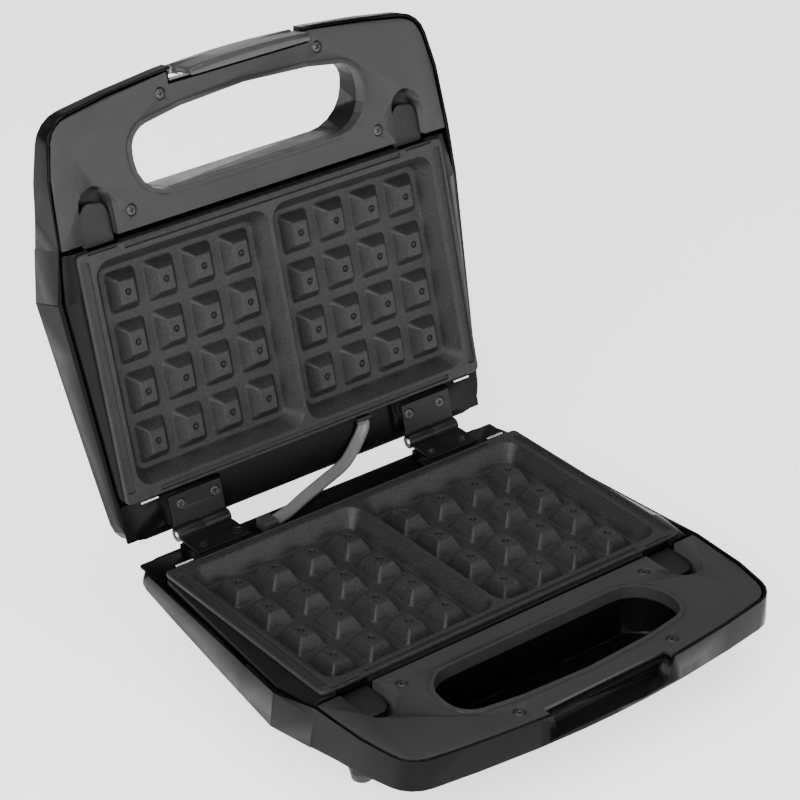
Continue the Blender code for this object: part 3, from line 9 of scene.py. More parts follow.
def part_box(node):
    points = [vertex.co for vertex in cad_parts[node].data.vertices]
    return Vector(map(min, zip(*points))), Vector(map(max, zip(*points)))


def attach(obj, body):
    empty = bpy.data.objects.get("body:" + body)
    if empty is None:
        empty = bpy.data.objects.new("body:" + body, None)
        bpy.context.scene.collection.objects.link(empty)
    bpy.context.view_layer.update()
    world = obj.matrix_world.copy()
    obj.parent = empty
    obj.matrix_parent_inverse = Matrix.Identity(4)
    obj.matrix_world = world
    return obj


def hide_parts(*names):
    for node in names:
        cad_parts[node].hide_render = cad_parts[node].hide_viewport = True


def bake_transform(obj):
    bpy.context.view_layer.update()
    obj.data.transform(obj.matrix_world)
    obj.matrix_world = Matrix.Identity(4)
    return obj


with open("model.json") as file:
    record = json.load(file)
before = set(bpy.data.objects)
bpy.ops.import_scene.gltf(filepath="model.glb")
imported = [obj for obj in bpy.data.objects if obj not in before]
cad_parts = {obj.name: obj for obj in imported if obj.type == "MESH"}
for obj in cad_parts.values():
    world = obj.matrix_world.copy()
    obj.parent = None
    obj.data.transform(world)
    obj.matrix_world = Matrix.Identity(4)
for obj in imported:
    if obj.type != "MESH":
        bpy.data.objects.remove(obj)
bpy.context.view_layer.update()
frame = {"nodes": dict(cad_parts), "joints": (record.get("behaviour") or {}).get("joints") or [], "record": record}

# ---------------------------------------------------------------- the frame of each half
# A half is drawn as (x, reach from the hinge line, height out of its inner face), in metres.

AXIS_REACH = 0.0027
AXIS_HEIGHT = 0.0035
HINGE = next(joint for joint in frame["joints"] if joint["name"] == "lid_hinge")
AXIS = Vector(HINGE["pos_m"])
OPEN_ANGLE = -math.radians(HINGE["range_deg"][0])


def lid_matrix(turn):
    """From the lid's own frame to the world, with the lid swung open by turn from closed."""
    c, s = math.cos(turn), math.sin(turn)
    return Matrix((
        (1.0, 0.0, 0.0, 0.0),
        (0.0, -c, -s, AXIS.y + AXIS_REACH * c + AXIS_HEIGHT * s),
        (0.0, s, -c, AXIS.z - AXIS_REACH * s + AXIS_HEIGHT * c),
        (0.0, 0.0, 0.0, 1.0),
    ))


BASE = Matrix((
    (1.0, 0.0, 0.0, 0.0),
    (0.0, -1.0, 0.0, AXIS.y + AXIS_REACH),
    (0.0, 0.0, 1.0, AXIS.z - AXIS_HEIGHT),
    (0.0, 0.0, 0.0, 1.0),
))
LID = lid_matrix(OPEN_ANGLE)
HALVES = {"base": BASE, "lid": LID}
BODY_OF = {node: body for body, nodes in frame["record"]["behaviour"]["bodies"].items() for node in nodes}
SLOT_OF = {part["node"]: part["material_slot"] for part in frame["record"]["subparts"]}


def local_box(node):
    """The lowest and highest corner of a node of the base, in the base's own frame."""
    low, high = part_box(node)
    to_half = BASE.inverted()
    a, b = to_half @ low, to_half @ high
    return Vector(map(min, a, b)), Vector(map(max, a, b))


# ---------------------------------------------------------------- materials

def node_tree(name):
    material = bpy.data.materials.new(name)
    material.use_nodes = True
    tree = material.node_tree
    shader = tree.nodes["Principled BSDF"]
    coordinates = tree.nodes.new("ShaderNodeTexCoord")
    return material, tree, shader, coordinates.outputs["Object"]


def noise(tree, place, scale, detail=2.0, roughness=0.5):
    node = tree.nodes.new("ShaderNodeTexNoise")
    node.inputs["Scale"].default_value = scale
    node.inputs["Detail"].default_value = detail
    node.inputs["Roughness"].default_value = roughness
    tree.links.new(place, node.inputs["Vector"])
    return node.outputs["Fac"]


def ramp(tree, factor, stops):
    node = tree.nodes.new("ShaderNodeValToRGB")
    tree.links.new(factor, node.inputs["Fac"])
    ends = node.color_ramp.elements
    while len(ends) < len(stops):
        ends.new(0.5)
    for element, (position, value) in zip(ends, stops):
        element.position = position
        element.color = (*value, 1.0) if isinstance(value, tuple) else (value, value, value, 1.0)
    return node.outputs["Color"]


def bump(tree, shader, factors, distance, edge=0.0005):
    """Softens the solid's edges in its shading, then adds a bump for each (factor, strength)."""
    rounding = tree.nodes.new("ShaderNodeBevel")
    rounding.samples = 4
    rounding.inputs["Radius"].default_value = edge
    last = rounding.outputs["Normal"]
    for factor, strength in factors:
        node = tree.nodes.new("ShaderNodeBump")
        node.inputs["Strength"].default_value = strength
        node.inputs["Distance"].default_value = distance
        tree.links.new(factor, node.inputs["Height"])
        tree.links.new(last, node.inputs["Normal"])
        last = node.outputs["Normal"]
    tree.links.new(last, shader.inputs["Normal"])


def plastic(name, dark, light, rough, grain, grain_strength, specular=0.5):
    """Moulded plastic: a fine etched grain, slow changes of tone, and faint handling marks in its gloss."""
    material, tree, shader, place = node_tree(name)
    slow = noise(tree, place, 22.0, 3.0)
    tree.links.new(ramp(tree, slow, [(0.3, dark), (0.7, light)]), shader.inputs["Base Color"])
    marks = noise(tree, place, 90.0, 4.0, 0.65)
    tree.links.new(ramp(tree, marks, [(0.3, rough - 0.05), (0.72, rough + 0.06)]), shader.inputs["Roughness"])
    shader.inputs["Specular IOR Level"].default_value = specular
    bump(tree, shader, [(noise(tree, place, grain, 2.0), grain_strength), (slow, 0.03)], 0.0002)
    return material


def coating(name):
    """Grey non-stick coating: pale flecks in a dark ground, on a faintly orange-peeled surface."""
    material, tree, shader, place = node_tree(name)
    flecks = ramp(tree, noise(tree, place, 1500.0, 3.0, 0.7), [(0.40, 0.011), (0.56, 0.019), (0.72, 0.055)])
    patches = ramp(tree, noise(tree, place, 60.0, 3.0), [(0.3, 0.84), (0.7, 1.0)])
    mix = tree.nodes.new("ShaderNodeMix")
    mix.data_type = "RGBA"
    mix.blend_type = "MULTIPLY"
    mix.inputs["Factor"].default_value = 1.0
    tree.links.new(flecks, mix.inputs["A"])
    tree.links.new(patches, mix.inputs["B"])
    tree.links.new(mix.outputs["Result"], shader.inputs["Base Color"])
    rough = ramp(tree, noise(tree, place, 240.0, 3.0), [(0.3, 0.44), (0.7, 0.56)])
    tree.links.new(rough, shader.inputs["Roughness"])
    shader.inputs["Metallic"].default_value = 0.0
    shader.inputs["Specular IOR Level"].default_value = 0.28
    grain = noise(tree, place, 1900.0, 2.0)
    peel = noise(tree, place, 260.0, 2.0)
    bump(tree, shader, [(grain, 0.22), (peel, 0.12)], 0.0001)
    return material


def metal(name, colour, rough, streak_scale, bump_strength):
    """Metal with fine streaks along X, which change its tone and its gloss."""
    material, tree, shader, place = node_tree(name)
    mapping = tree.nodes.new("ShaderNodeMapping")
    mapping.inputs["Scale"].default_value = (1.0, 9.0, 9.0)
    tree.links.new(place, mapping.inputs["Vector"])
    streaks = noise(tree, mapping.outputs["Vector"], streak_scale, 4.0, 0.6)
    shade = [(0.3, tuple(c * 0.82 for c in colour)), (0.7, colour)]
    tree.links.new(ramp(tree, streaks, shade), shader.inputs["Base Color"])
    tree.links.new(ramp(tree, streaks, [(0.3, rough), (0.7, rough + 0.12)]), shader.inputs["Roughness"])
    shader.inputs["Metallic"].default_value = 1.0
    bump(tree, shader, [(streaks, bump_strength)], 0.0001)
    return material


def lens(name, colour):
    """Clouded, glossy plastic over an indicator light."""
    material, tree, shader, place = node_tree(name)
    cloud = noise(tree, place, 500.0, 2.0)
    deep = tuple(c * 0.6 for c in colour)
    tree.links.new(ramp(tree, cloud, [(0.3, deep), (0.7, colour)]), shader.inputs["Base Color"])
    shader.inputs["Roughness"].default_value = 0.12
    shader.inputs["Coat Weight"].default_value = 0.6
    bump(tree, shader, [(cloud, 0.04)], 0.0001)
    return material


def paint(obj, material):
    obj.data.materials.clear()
    obj.data.materials.append(material)


# plastic: dark and light tone, roughness, scale and strength of the grain, specular level
# metal: colour, roughness, scale of the streaks, strength of their bump
MATERIALS = {
    "shell_black": plastic("shell_black_plastic", 0.0018, 0.0028, 0.30, 2600.0, 0.05, 0.09),
    "panel_black": plastic("panel_black_plastic", 0.019, 0.024, 0.48, 2100.0, 0.18, 0.30),
    "frame_black": plastic("frame_black_paint", 0.0030, 0.0045, 0.38, 1700.0, 0.10, 0.12),
    "plate_coating": coating("plate_nonstick_coating"),
    "button_black": plastic("button_black_plastic", 0.004, 0.006, 0.44, 2300.0, 0.12, 0.30),
    "latch_grey": plastic("latch_grey_plastic", 0.030, 0.038, 0.34, 2600.0, 0.05, 0.5),
    "hinge_black": plastic("hinge_black_paint", 0.003, 0.005, 0.40, 1500.0, 0.12, 0.25),
    "screw_black": metal("screw_black_oxide", (0.075, 0.075, 0.078), 0.34, 300.0, 0.05),
    "bright_steel": metal("bright_steel", (0.78, 0.78, 0.79), 0.20, 260.0, 0.06),
    "spring_steel": metal("spring_steel", (0.55, 0.55, 0.56), 0.28, 400.0, 0.04),
    "element_steel": metal("element_heated_steel", (0.30, 0.27, 0.25), 0.42, 180.0, 0.10),
    "reflector_steel": metal("reflector_steel", (0.66, 0.66, 0.67), 0.30, 120.0, 0.06),
    "cable_grey": plastic("cable_grey_jacket", 0.070, 0.090, 0.42, 1400.0, 0.10, 0.5),
    "rubber_black": plastic("rubber_black", 0.012, 0.018, 0.62, 1300.0, 0.20, 0.35),
    "ceramic_white": plastic("ceramic_white", 0.72, 0.78, 0.45, 900.0, 0.10, 0.5),
    "lens_red": lens("lens_red", (0.60, 0.020, 0.015)),
    "lens_green": lens("lens_green", (0.020, 0.42, 0.060)),
}

# ---------------------------------------------------------------- mesh helpers

def loft(bm, rings):
    """A closed body through rings that have the same number of points."""
    made = [[bm.verts.new(point) for point in ring] for ring in rings]
    count = len(made[0])
    for low, high in zip(made, made[1:]):
        for i in range(count):
            j = (i + 1) % count
            bm.faces.new((low[i], low[j], high[j], high[i]))
    bm.faces.new(made[0])
    bm.faces.new(made[-1])


def rounded_rectangle(half_x, half_y, radius, centre=(0.0, 0.0), steps=5):
    """Anticlockwise outline with the same number of points whatever its size."""
    radius = max(min(radius, half_x, half_y), 1e-5)
    points = []
    for quarter, (sx, sy) in enumerate(((1, -1), (1, 1), (-1, 1), (-1, -1))):
        for step in range(steps + 1):
            turn = math.radians(90.0 * (quarter - 1 + step / steps))
            x = centre[0] + sx * (half_x - radius) + radius * math.cos(turn)
            y = centre[1] + sy * (half_y - radius) + radius * math.sin(turn)
            points.append((x, y))
    return points


def circle(radius, centre):
    return rounded_rectangle(radius, radius, radius, centre)


def at_height(outline, height):
    return [(x, y, height) for x, y in outline]


def finish_mesh(bm, name, matrix):
    """A mesh in world space whose faces point out."""
    bmesh.ops.transform(bm, matrix=matrix, verts=bm.verts)
    bmesh.ops.recalc_face_normals(bm, faces=bm.faces)
    mesh = bpy.data.meshes.new(name)
    bm.to_mesh(mesh)
    bm.free()
    return mesh


def new_object(name, mesh):
    obj = bpy.data.objects.new(name, mesh)
    bpy.context.scene.collection.objects.link(obj)
    return obj


def add_body(name, bm, matrix=Matrix.Identity(4)):
    return new_object(name, finish_mesh(bm, name, matrix))


def apply_modifiers(obj):
    """Leaves the object's evaluated mesh as its own."""
    bpy.context.view_layer.update()
    graph = bpy.context.evaluated_depsgraph_get()
    mesh = bpy.data.meshes.new_from_object(obj.evaluated_get(graph))
    obj.modifiers.clear()
    obj.data = mesh


def combine(obj, bm, operation, name="tool"):
    """Cuts or joins a body drawn in the same frame as obj."""
    bmesh.ops.recalc_face_normals(bm, faces=bm.faces)
    mesh = bpy.data.meshes.new(name)
    bm.to_mesh(mesh)
    bm.free()
    tool = new_object(name, mesh)
    modifier = obj.modifiers.new(name, "BOOLEAN")
    modifier.operation = operation
    modifier.solver = "EXACT"
    modifier.object = tool
    apply_modifiers(obj)
    bpy.data.objects.remove(tool)


def smooth(obj, angle=35.0):
    """Smooth across shallow edges, with large faces counting for more than the slivers beside them."""
    obj.data.shade_smooth()
    obj.data.set_sharp_from_angle(angle=math.radians(angle))
    modifier = obj.modifiers.new("normals", "WEIGHTED_NORMAL")
    modifier.mode = "FACE_AREA"
    modifier.weight = 100
    modifier.keep_sharp = True
    apply_modifiers(obj)


def show(obj, node):
    """Paints a finished piece and lets it stand for its CAD node."""
    paint(obj, MATERIALS[SLOT_OF[node]])
    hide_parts(node)
    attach(obj, BODY_OF[node])


# ---------------------------------------------------------------- waffle plates

PLATE_LOW, PLATE_HIGH = local_box("base_waffle_plate")
PLATE_HALF_WIDTH = PLATE_HIGH.x
PLATE_MIDDLE = (PLATE_LOW.y + PLATE_HIGH.y) / 2
PLATE_HALF_REACH = (PLATE_HIGH.y - PLATE_LOW.y) / 2
PLATE_TOP = PLATE_HIGH.z
PLATE_CORNER = 0.003
FLANGE = 0.0020
CAVITY_DEPTH = 0.0105
DIVIDER = 0.0030
SIDE_RIM = 0.0095
REAR_RIM = 0.0074
FRONT_RIM = 0.0072
CAVITY_DRAFT = 0.0063
CAVITY_CORNER = 0.0090
CAVITY_CORNER_SHARE = 0.7  # how much of an inset its corner takes
CAVITY_RIM_SHARE = 0.7     # and how much the rounding over the rim takes across, for a thin divider
CASTING = 0.0022
PEG_COLUMNS = 4
PEG_ROWS = 4
PEG_GROOVE = 0.0056
PEG_HEIGHT = 0.0071
PEG_DRAFT = 0.0047
PEG_FOOT_CORNER = 0.0024
PEG_TOP_CORNER = 0.0009

# Channels in the flange: half width and half reach, where each one lies, and its depth.
SIDE_GROOVE = (0.00225, 0.0635)
SIDE_GROOVE_INSET = 0.00425
SIDE_GROOVE_SHIFT = 0.0005
SIDE_GROOVE_DEPTH = 0.0015
CORNER_GROOVE = (0.0091, 0.0006)
CORNER_GROOVE_X = 0.1039
CORNER_GROOVE_INSET = 0.0010
CORNER_GROOVE_DEPTH = 0.0012
REAR_GROOVE = (0.0978, 0.0013)
REAR_GROOVE_INSET = 0.0031
FRONT_GROOVE = (0.0908, 0.0013)
FRONT_GROOVE_INSET = 0.0025
END_GROOVE_DEPTH = 0.0014
GROOVE_CORNER = 0.0008

def plate_blank():
    """Flange and tub in one piece, with the flange's top edge rounded."""
    edge = ((0.0, -FLANGE), (0.0, -0.0007), (0.00015, -0.0003), (0.0005, 0.0))
    rings = []
    for inset, height in edge:
        half_x = PLATE_HALF_WIDTH - inset
        half_y = PLATE_HALF_REACH - inset
        outline = rounded_rectangle(half_x, half_y, PLATE_CORNER - inset, (0.0, PLATE_MIDDLE))
        rings.append(at_height(outline, PLATE_TOP + height))
    bm = bmesh.new()
    loft(bm, rings)
    obj = add_body("plate_blank", bm)

    half_x = PLATE_HALF_WIDTH - SIDE_RIM + CASTING
    rear = PLATE_LOW.y + REAR_RIM - CASTING
    front = PLATE_HIGH.y - FRONT_RIM + CASTING
    half_y = (front - rear) / 2
    middle = (0.0, (front + rear) / 2)
    tub_low = PLATE_TOP - CAVITY_DEPTH - CASTING
    rings = []
    for inset, height in ((0.0030, tub_low), (0.0, PLATE_TOP - 0.006), (0.0, PLATE_TOP - 0.001)):
        outline = rounded_rectangle(half_x - inset, half_y - inset, CAVITY_CORNER, middle)
        rings.append(at_height(outline, height))
    bm = bmesh.new()
    loft(bm, rings)
    combine(obj, bm, "UNION")
    return obj


def cut_cavity(obj, side):
    """A cavity: rounded over its rim, leaning in, with a small fillet at its floor."""
    low_x, high_x = DIVIDER / 2, PLATE_HALF_WIDTH - SIDE_RIM
    low_y, high_y = PLATE_LOW.y + REAR_RIM, PLATE_HIGH.y - FRONT_RIM
    half_x, half_y = (high_x - low_x) / 2, (high_y - low_y) / 2
    centre = (side * (low_x + high_x) / 2, (low_y + high_y) / 2)
    rim = ((-0.0012, 0.0010), (-0.0010, 0.0), (-0.0006, -0.00012), (-0.0002, -0.00045), (0.0001, -0.0010))
    floor = ((0.0050, -0.0092), (0.0054, -0.0099), (0.0060, -0.01035), (0.0068, -CAVITY_DEPTH))
    rings = []
    for inset, height in rim + floor:
        inset_x = inset if inset > 0 else inset * CAVITY_RIM_SHARE
        corner = CAVITY_CORNER - inset * CAVITY_CORNER_SHARE
        outline = rounded_rectangle(half_x - inset_x, half_y - inset, corner, centre, 8)
        rings.append(at_height(outline, PLATE_TOP + height))
    bm = bmesh.new()
    loft(bm, rings)
    combine(obj, bm, "DIFFERENCE")


def add_pegs(obj, side):
    """Tapered pegs with a fillet at the foot and, in the top, a round dimple with a raised middle."""
    low_x = DIVIDER / 2 + CAVITY_DRAFT
    high_x = PLATE_HALF_WIDTH - SIDE_RIM - CAVITY_DRAFT
    low_y = PLATE_LOW.y + REAR_RIM + CAVITY_DRAFT
    high_y = PLATE_HIGH.y - FRONT_RIM - CAVITY_DRAFT
    pitch_x = (high_x - low_x) / PEG_COLUMNS
    pitch_y = (high_y - low_y) / PEG_ROWS
    lean = PEG_DRAFT / PEG_HEIGHT
    floor = PLATE_TOP - CAVITY_DEPTH
    foot = ((0.00075, -0.00010), (0.00045, 0.00008), (0.00020, 0.00028), (0.0, 0.00062))
    crown = ((0.0, -0.00050), (0.00016, -0.00018), (0.00045, -0.00003), (0.00070, 0.0))
    dimple = ((0.00205, 0.0), (0.00190, -0.00010), (0.00178, -0.00130), (0.00150, -0.00150),
              (0.00105, -0.00145), (0.00070, -0.00060), (0.00030, -0.00050))
    bm = bmesh.new()
    for column in range(PEG_COLUMNS):
        for row in range(PEG_ROWS):
            centre = (side * (low_x + pitch_x * (column + 0.5)), low_y + pitch_y * (row + 0.5))
            base_x = (pitch_x - PEG_GROOVE) / 2
            base_y = (pitch_y - PEG_GROOVE) / 2
            rings = []
            for out, rise in foot:
                grow = out - rise * lean
                corner = PEG_FOOT_CORNER + out
                outline = rounded_rectangle(base_x + grow, base_y + grow, corner, centre)
                rings.append(at_height(outline, floor + rise))
            for inset, drop in crown:
                rise = PEG_HEIGHT + drop
                shrink = rise * lean + inset * 0.6
                outline = rounded_rectangle(base_x - shrink, base_y - shrink, PEG_TOP_CORNER, centre)
                rings.append(at_height(outline, floor + rise))
            for radius, drop in dimple:
                rings.append(at_height(circle(radius, centre), floor + PEG_HEIGHT + drop))
            loft(bm, rings)
    combine(obj, bm, "UNION")


def cut_groove(obj, size, centre, depth):
    """A narrow channel in the flange with softened edges."""
    half_x, half_y = size
    profile = ((0.0003, -depth), (0.0, -depth + 0.0003), (0.0, -0.0002), (-0.0002, 0.0), (-0.0002, 0.001))
    rings = []
    for inset, height in profile:
        outline = rounded_rectangle(half_x - inset, half_y - inset, GROOVE_CORNER, centre, 3)
        rings.append(at_height(outline, PLATE_TOP + height))
    bm = bmesh.new()
    loft(bm, rings)
    combine(obj, bm, "DIFFERENCE")


def cut_grooves(obj):
    """A groove along each edge of the flange, and a short one at each end of the front edge."""
    side_x = PLATE_HALF_WIDTH - SIDE_GROOVE_INSET
    side_y = PLATE_MIDDLE + SIDE_GROOVE_SHIFT
    corner_y = PLATE_HIGH.y - CORNER_GROOVE_INSET
    for side in (-1, 1):
        cut_groove(obj, SIDE_GROOVE, (side * side_x, side_y), SIDE_GROOVE_DEPTH)
        cut_groove(obj, CORNER_GROOVE, (side * CORNER_GROOVE_X, corner_y), CORNER_GROOVE_DEPTH)
    cut_groove(obj, REAR_GROOVE, (0.0, PLATE_LOW.y + REAR_GROOVE_INSET), END_GROOVE_DEPTH)
    cut_groove(obj, FRONT_GROOVE, (0.0, PLATE_HIGH.y - FRONT_GROOVE_INSET), END_GROOVE_DEPTH)


def make_plates():
    """One casting, drawn once in a half's own frame and placed in both halves."""
    plate = plate_blank()
    for side in (-1, 1):
        cut_cavity(plate, side)
    for side in (-1, 1):
        add_pegs(plate, side)
    cut_grooves(plate)
    for half, matrix in HALVES.items():
        bm = bmesh.new()
        bm.from_mesh(plate.data)
        obj = add_body(f"{half}_plate_casting", bm, matrix)
        smooth(obj, 32.0)
        show(obj, f"{half}_waffle_plate")
    bpy.data.objects.remove(plate)


# ---------------------------------------------------------------- pieces refined from their CAD solids

WELD = 2e-6
FLAT_ANGLE = math.radians(0.6)
BEVEL_ANGLE = math.radians(30.0)
HANDLE_SCREW = (0.0030, 0.0008)  # radius of the head, and how far its side ends below its top
HINGE_SCREW = (0.0028, 0.0002)
SCREW_NECK = 0.0014
CROSS_DEPTH = 0.0009
CROSS_REACH = 0.62               # of the head's radius
CROSS_HALF_WIDTH = 0.00042
CROSS_TAPER = 0.7
CROSS_FIRST_TURN = 25.0          # each screw's cross is turned differently, in degrees
CROSS_NEXT_TURN = 37.0


def refine(node, width=0.0, segments=2):
    """The CAD solid with its round stretches smooth and, where a width is given, its edges rounded."""
    bm = bmesh.new()
    bm.from_mesh(frame["nodes"][node].data)
    bmesh.ops.remove_doubles(bm, verts=bm.verts, dist=WELD)
    if width:
        bmesh.ops.dissolve_limit(bm, angle_limit=FLAT_ANGLE, verts=bm.verts, edges=bm.edges)
    obj = add_body(f"{node}_finished", bm)
    if width:
        modifier = obj.modifiers.new("edges", "BEVEL")
        modifier.width = width
        modifier.segments = segments
        modifier.limit_method = "ANGLE"
        modifier.angle_limit = BEVEL_ANGLE
        modifier.use_clamp_overlap = True
        modifier.miter_outer = "MITER_ARC"
        modifier.harden_normals = False
        apply_modifiers(obj)
    smooth(obj, 34.0)
    show(obj, node)


def cut_cross(obj, radius, top, centre, turn):
    """Two slots at right angles, narrower at the bottom than at the top."""
    for angle in (turn, turn + math.pi / 2):
        c, s = math.cos(angle), math.sin(angle)
        rings = []
        for grow, height in ((CROSS_TAPER, top - CROSS_DEPTH), (1.0, top + 0.0005)):
            reach = radius * CROSS_REACH * grow
            wide = CROSS_HALF_WIDTH * grow
            corners = ((reach, -wide), (reach, wide), (-reach, wide), (-reach, -wide))
            outline = [(centre.x + c * a - s * b, centre.y + s * a + c * b) for a, b in corners]
            rings.append(at_height(outline, height))
        bm = bmesh.new()
        loft(bm, rings)
        combine(obj, bm, "DIFFERENCE")


def add_screw_head(half, kind, number, size, turn_sign):
    """A domed head with a cross recess, on a neck as long as its CAD screw."""
    node = f"{half}_{kind}_screw_{number}"
    radius, side_drop = size
    to_half = HALVES[half].inverted()
    points = [to_half @ vert.co for vert in frame["nodes"][node].data.vertices]
    centre = sum(points, Vector()) / len(points)
    low = min(point.z for point in points)
    top = max(point.z for point in points)
    neck = ((SCREW_NECK, low), (SCREW_NECK, top - 0.0013))
    side = ((radius, top - side_drop), (radius - 0.0001, top - side_drop / 2))
    crown = ((radius * 0.7, top - 0.0001), (radius * 0.3, top))
    bm = bmesh.new()
    loft(bm, [at_height(circle(r, (centre.x, centre.y)), height) for r, height in neck + side + crown])
    obj = add_body(f"{node}_head", bm)
    turn = math.radians(CROSS_FIRST_TURN + CROSS_NEXT_TURN * number * turn_sign)
    cut_cross(obj, radius, top, centre, turn)
    obj.data.transform(HALVES[half])
    smooth(obj, 35.0)
    show(obj, node)


# ---------------------------------------------------------------- link cable

LEAD_FACE = Vector((-0.54, -0.68, 0.50))  # the way the lead's flat side faces
CORE_OFFSET = 0.0018                      # from the middle of the lead to the middle of a core
CORE_RADIUS = 0.0017
CORE_POINTS = range(-4, 5)
CORE_TURN = 32.0                          # degrees between two points round a core
DECK_HEIGHT = -0.0045
CLEARANCE = 0.0003
CABLE_RADIUS = 0.0030
CABLE_HEIGHT = DECK_HEIGHT + CLEARANCE + CABLE_RADIUS
LID_GLAND = (0.0374, 0.0232)              # where the lead leaves each gland: x and reach
BASE_GLAND = (-0.0413, 0.0178)
CABLE_STUB = 0.0035                       # straight length out of the lid's gland
CABLE_ROUTE = (
    (0.0316, -0.0045, 0.0118),
    (0.0192, 0.0, 0.0043),
    (0.0010, 0.0048, 0.0016),
    (-0.0160, 0.0098, 0.0001),
    (-0.0300, 0.0148, -0.0009),
)


def catmull(points, steps=8):
    """A smooth curve through the points."""
    padded = [points[0]] + points + [points[-1]]
    route = []
    for i in range(1, len(padded) - 2):
        p0, p1, p2, p3 = padded[i - 1:i + 3]
        for step in range(steps):
            t = step / steps
            a = 2 * p1 + (p2 - p0) * t
            b = (2 * p0 - 5 * p1 + 4 * p2 - p3) * t * t
            c = (3 * p1 - p0 - 3 * p2 + p3) * t * t * t
            route.append((a + b + c) / 2)
    return route + [points[-1]]


def lead_section():
    """Outline across the lead: two round cores side by side, joined by a thinner web."""
    section = []
    for side in (1, -1):
        for i in CORE_POINTS:
            turn = math.radians(i * CORE_TURN)
            across = side * (CORE_OFFSET + CORE_RADIUS * math.cos(turn))
            section.append((across, side * CORE_RADIUS * math.sin(turn)))
    return section


def lead_path():
    """Points along the lead, in the world, from the lid's gland to the base's."""
    x, reach = LID_GLAND
    start = BASE.inverted() @ (LID @ Vector((x, reach, CABLE_HEIGHT)))
    leave = BASE.inverted() @ (LID @ Vector((x, reach - CABLE_STUB, CABLE_HEIGHT)))
    end = Vector((*BASE_GLAND, CABLE_HEIGHT))
    stations = [start, leave] + [Vector(point) for point in CABLE_ROUTE] + [end]
    return [BASE @ point for point in catmull(stations)]


def add_link_cable():
    """A flat lead from the lid's gland to the base's, drawn with the lid swung open by OPEN_ANGLE."""
    path = lead_path()
    section = lead_section()
    rings = []
    for i, point in enumerate(path):
        ahead = (path[min(i + 1, len(path) - 1)] - path[max(i - 1, 0)]).normalized()
        thick = (LEAD_FACE - ahead * LEAD_FACE.dot(ahead)).normalized()
        wide = ahead.cross(thick)
        rings.append([tuple(point + wide * a + thick * b) for a, b in section])
    bm = bmesh.new()
    loft(bm, rings)
    obj = add_body("link_lead", bm)
    smooth(obj, 60.0)
    paint(obj, MATERIALS["cable_grey"])
    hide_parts("link_cable")
    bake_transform(obj)


# ---------------------------------------------------------------- every piece of the object

PLAIN_PARTS = (
    "shell", "handle_panel", "plate_frame", "button_left", "button_right",
    "hinge_leaf_left", "hinge_leaf_right",
)
CLIPS = ("plate_clip_left", "plate_clip_right")
CLIP_EDGE = 0.0004
GLANDS = ("base_cable_gland", "lid_cable_gland")
GLAND_EDGE = 0.0008
GLAND_SEGMENTS = 3
BASE_PARTS = ("cord_inlet", "foot_front_left", "foot_front_right", "foot_rear_left", "foot_rear_right")


def add_pieces():
    make_plates()
    for half in HALVES:
        for part in PLAIN_PARTS:
            refine(f"{half}_{part}")
        for part in CLIPS:
            refine(f"{half}_{part}", CLIP_EDGE)
        for number in range(1, 5):
            add_screw_head(half, "handle", number, HANDLE_SCREW, 1)
            add_screw_head(half, "hinge", number, HINGE_SCREW, -1)
    refine("lid_latch")
    add_link_cable()
    for node in GLANDS:
        refine(node, GLAND_EDGE, GLAND_SEGMENTS)
    for node in BASE_PARTS:
        refine(node)


def paint_solids():
    """The CAD solids that no finished piece stands for."""
    for node, obj in frame["nodes"].items():
        if not obj.hide_render:
            paint(obj, MATERIALS[SLOT_OF[node]])


# ---------------------------------------------------------------- stage, lights and camera

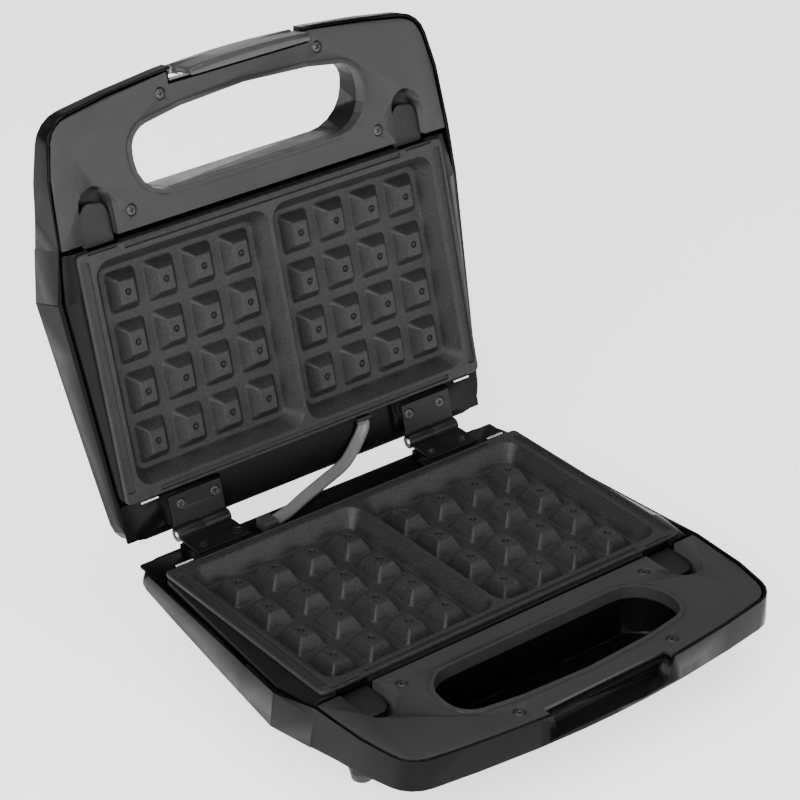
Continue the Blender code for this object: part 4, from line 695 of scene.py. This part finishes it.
AZIMUTH = math.radians(-38.13)
ELEVATION = math.radians(29.83)
DISTANCE = 1.4568
LENS = 126.33
AIM = AXIS + Vector((-0.0017, -0.0739, 0.0832))
FLOOR_HALF_SIZE = 6.0
FLOOR_GLOW = 1.4
WORLD_GLOW = 0.42
LIGHTS = (  # name, place, width and height, power
    ("key_left", (-1.6, -0.9, 1.1), (1.6, 1.6), 66.0),
    ("front_fill", (0.5, -2.0, 0.7), (1.8, 1.0), 24.0),
    ("top", (0.0, 0.3, 2.0), (1.6, 1.6), 16.0),
)


def add_camera():
    """A long lens that looks down at the aim from in front and to the left."""
    back = Vector((
        math.sin(AZIMUTH) * math.cos(ELEVATION),
        -math.cos(AZIMUTH) * math.cos(ELEVATION),
        math.sin(ELEVATION),
    ))
    data = bpy.data.cameras.new("camera")
    data.lens = LENS
    data.sensor_width = 36.0
    data.clip_start = 0.05
    data.clip_end = 30.0
    camera = bpy.data.objects.new("camera", data)
    bpy.context.scene.collection.objects.link(camera)
    camera.location = AIM + back * DISTANCE
    camera.rotation_euler = (math.pi / 2 - ELEVATION, 0.0, AZIMUTH)
    bpy.context.scene.camera = camera


def add_area(name, place, size, energy):
    """A white panel of light that faces the camera's aim."""
    data = bpy.data.lights.new(name, "AREA")
    data.shape = "RECTANGLE"
    data.size, data.size_y = size
    data.energy = energy
    light = bpy.data.objects.new(name, data)
    bpy.context.scene.collection.objects.link(light)
    light.location = place
    light.rotation_mode = "QUATERNION"
    light.rotation_quaternion = (AIM - Vector(place)).to_track_quat("-Z", "Y")


def add_floor():
    bm = bmesh.new()
    bmesh.ops.create_grid(bm, x_segments=1, y_segments=1, size=FLOOR_HALF_SIZE)
    floor = add_body("studio_floor", bm)
    material, _, shader, _ = node_tree("studio_floor")
    shader.inputs["Base Color"].default_value = (0.95, 0.95, 0.95, 1.0)
    shader.inputs["Roughness"].default_value = 0.9
    shader.inputs["Specular IOR Level"].default_value = 0.1
    shader.inputs["Emission Color"].default_value = (1.0, 1.0, 1.0, 1.0)
    shader.inputs["Emission Strength"].default_value = FLOOR_GLOW
    paint(floor, material)


def add_world():
    world = bpy.data.worlds.new("studio")
    world.use_nodes = True
    background = world.node_tree.nodes["Background"]
    background.inputs["Color"].default_value = (1.0, 1.0, 1.0, 1.0)
    background.inputs["Strength"].default_value = WORLD_GLOW
    bpy.context.scene.world = world


add_pieces()
paint_solids()
add_camera()
add_floor()
add_world()
for light in LIGHTS:
    add_area(*light)
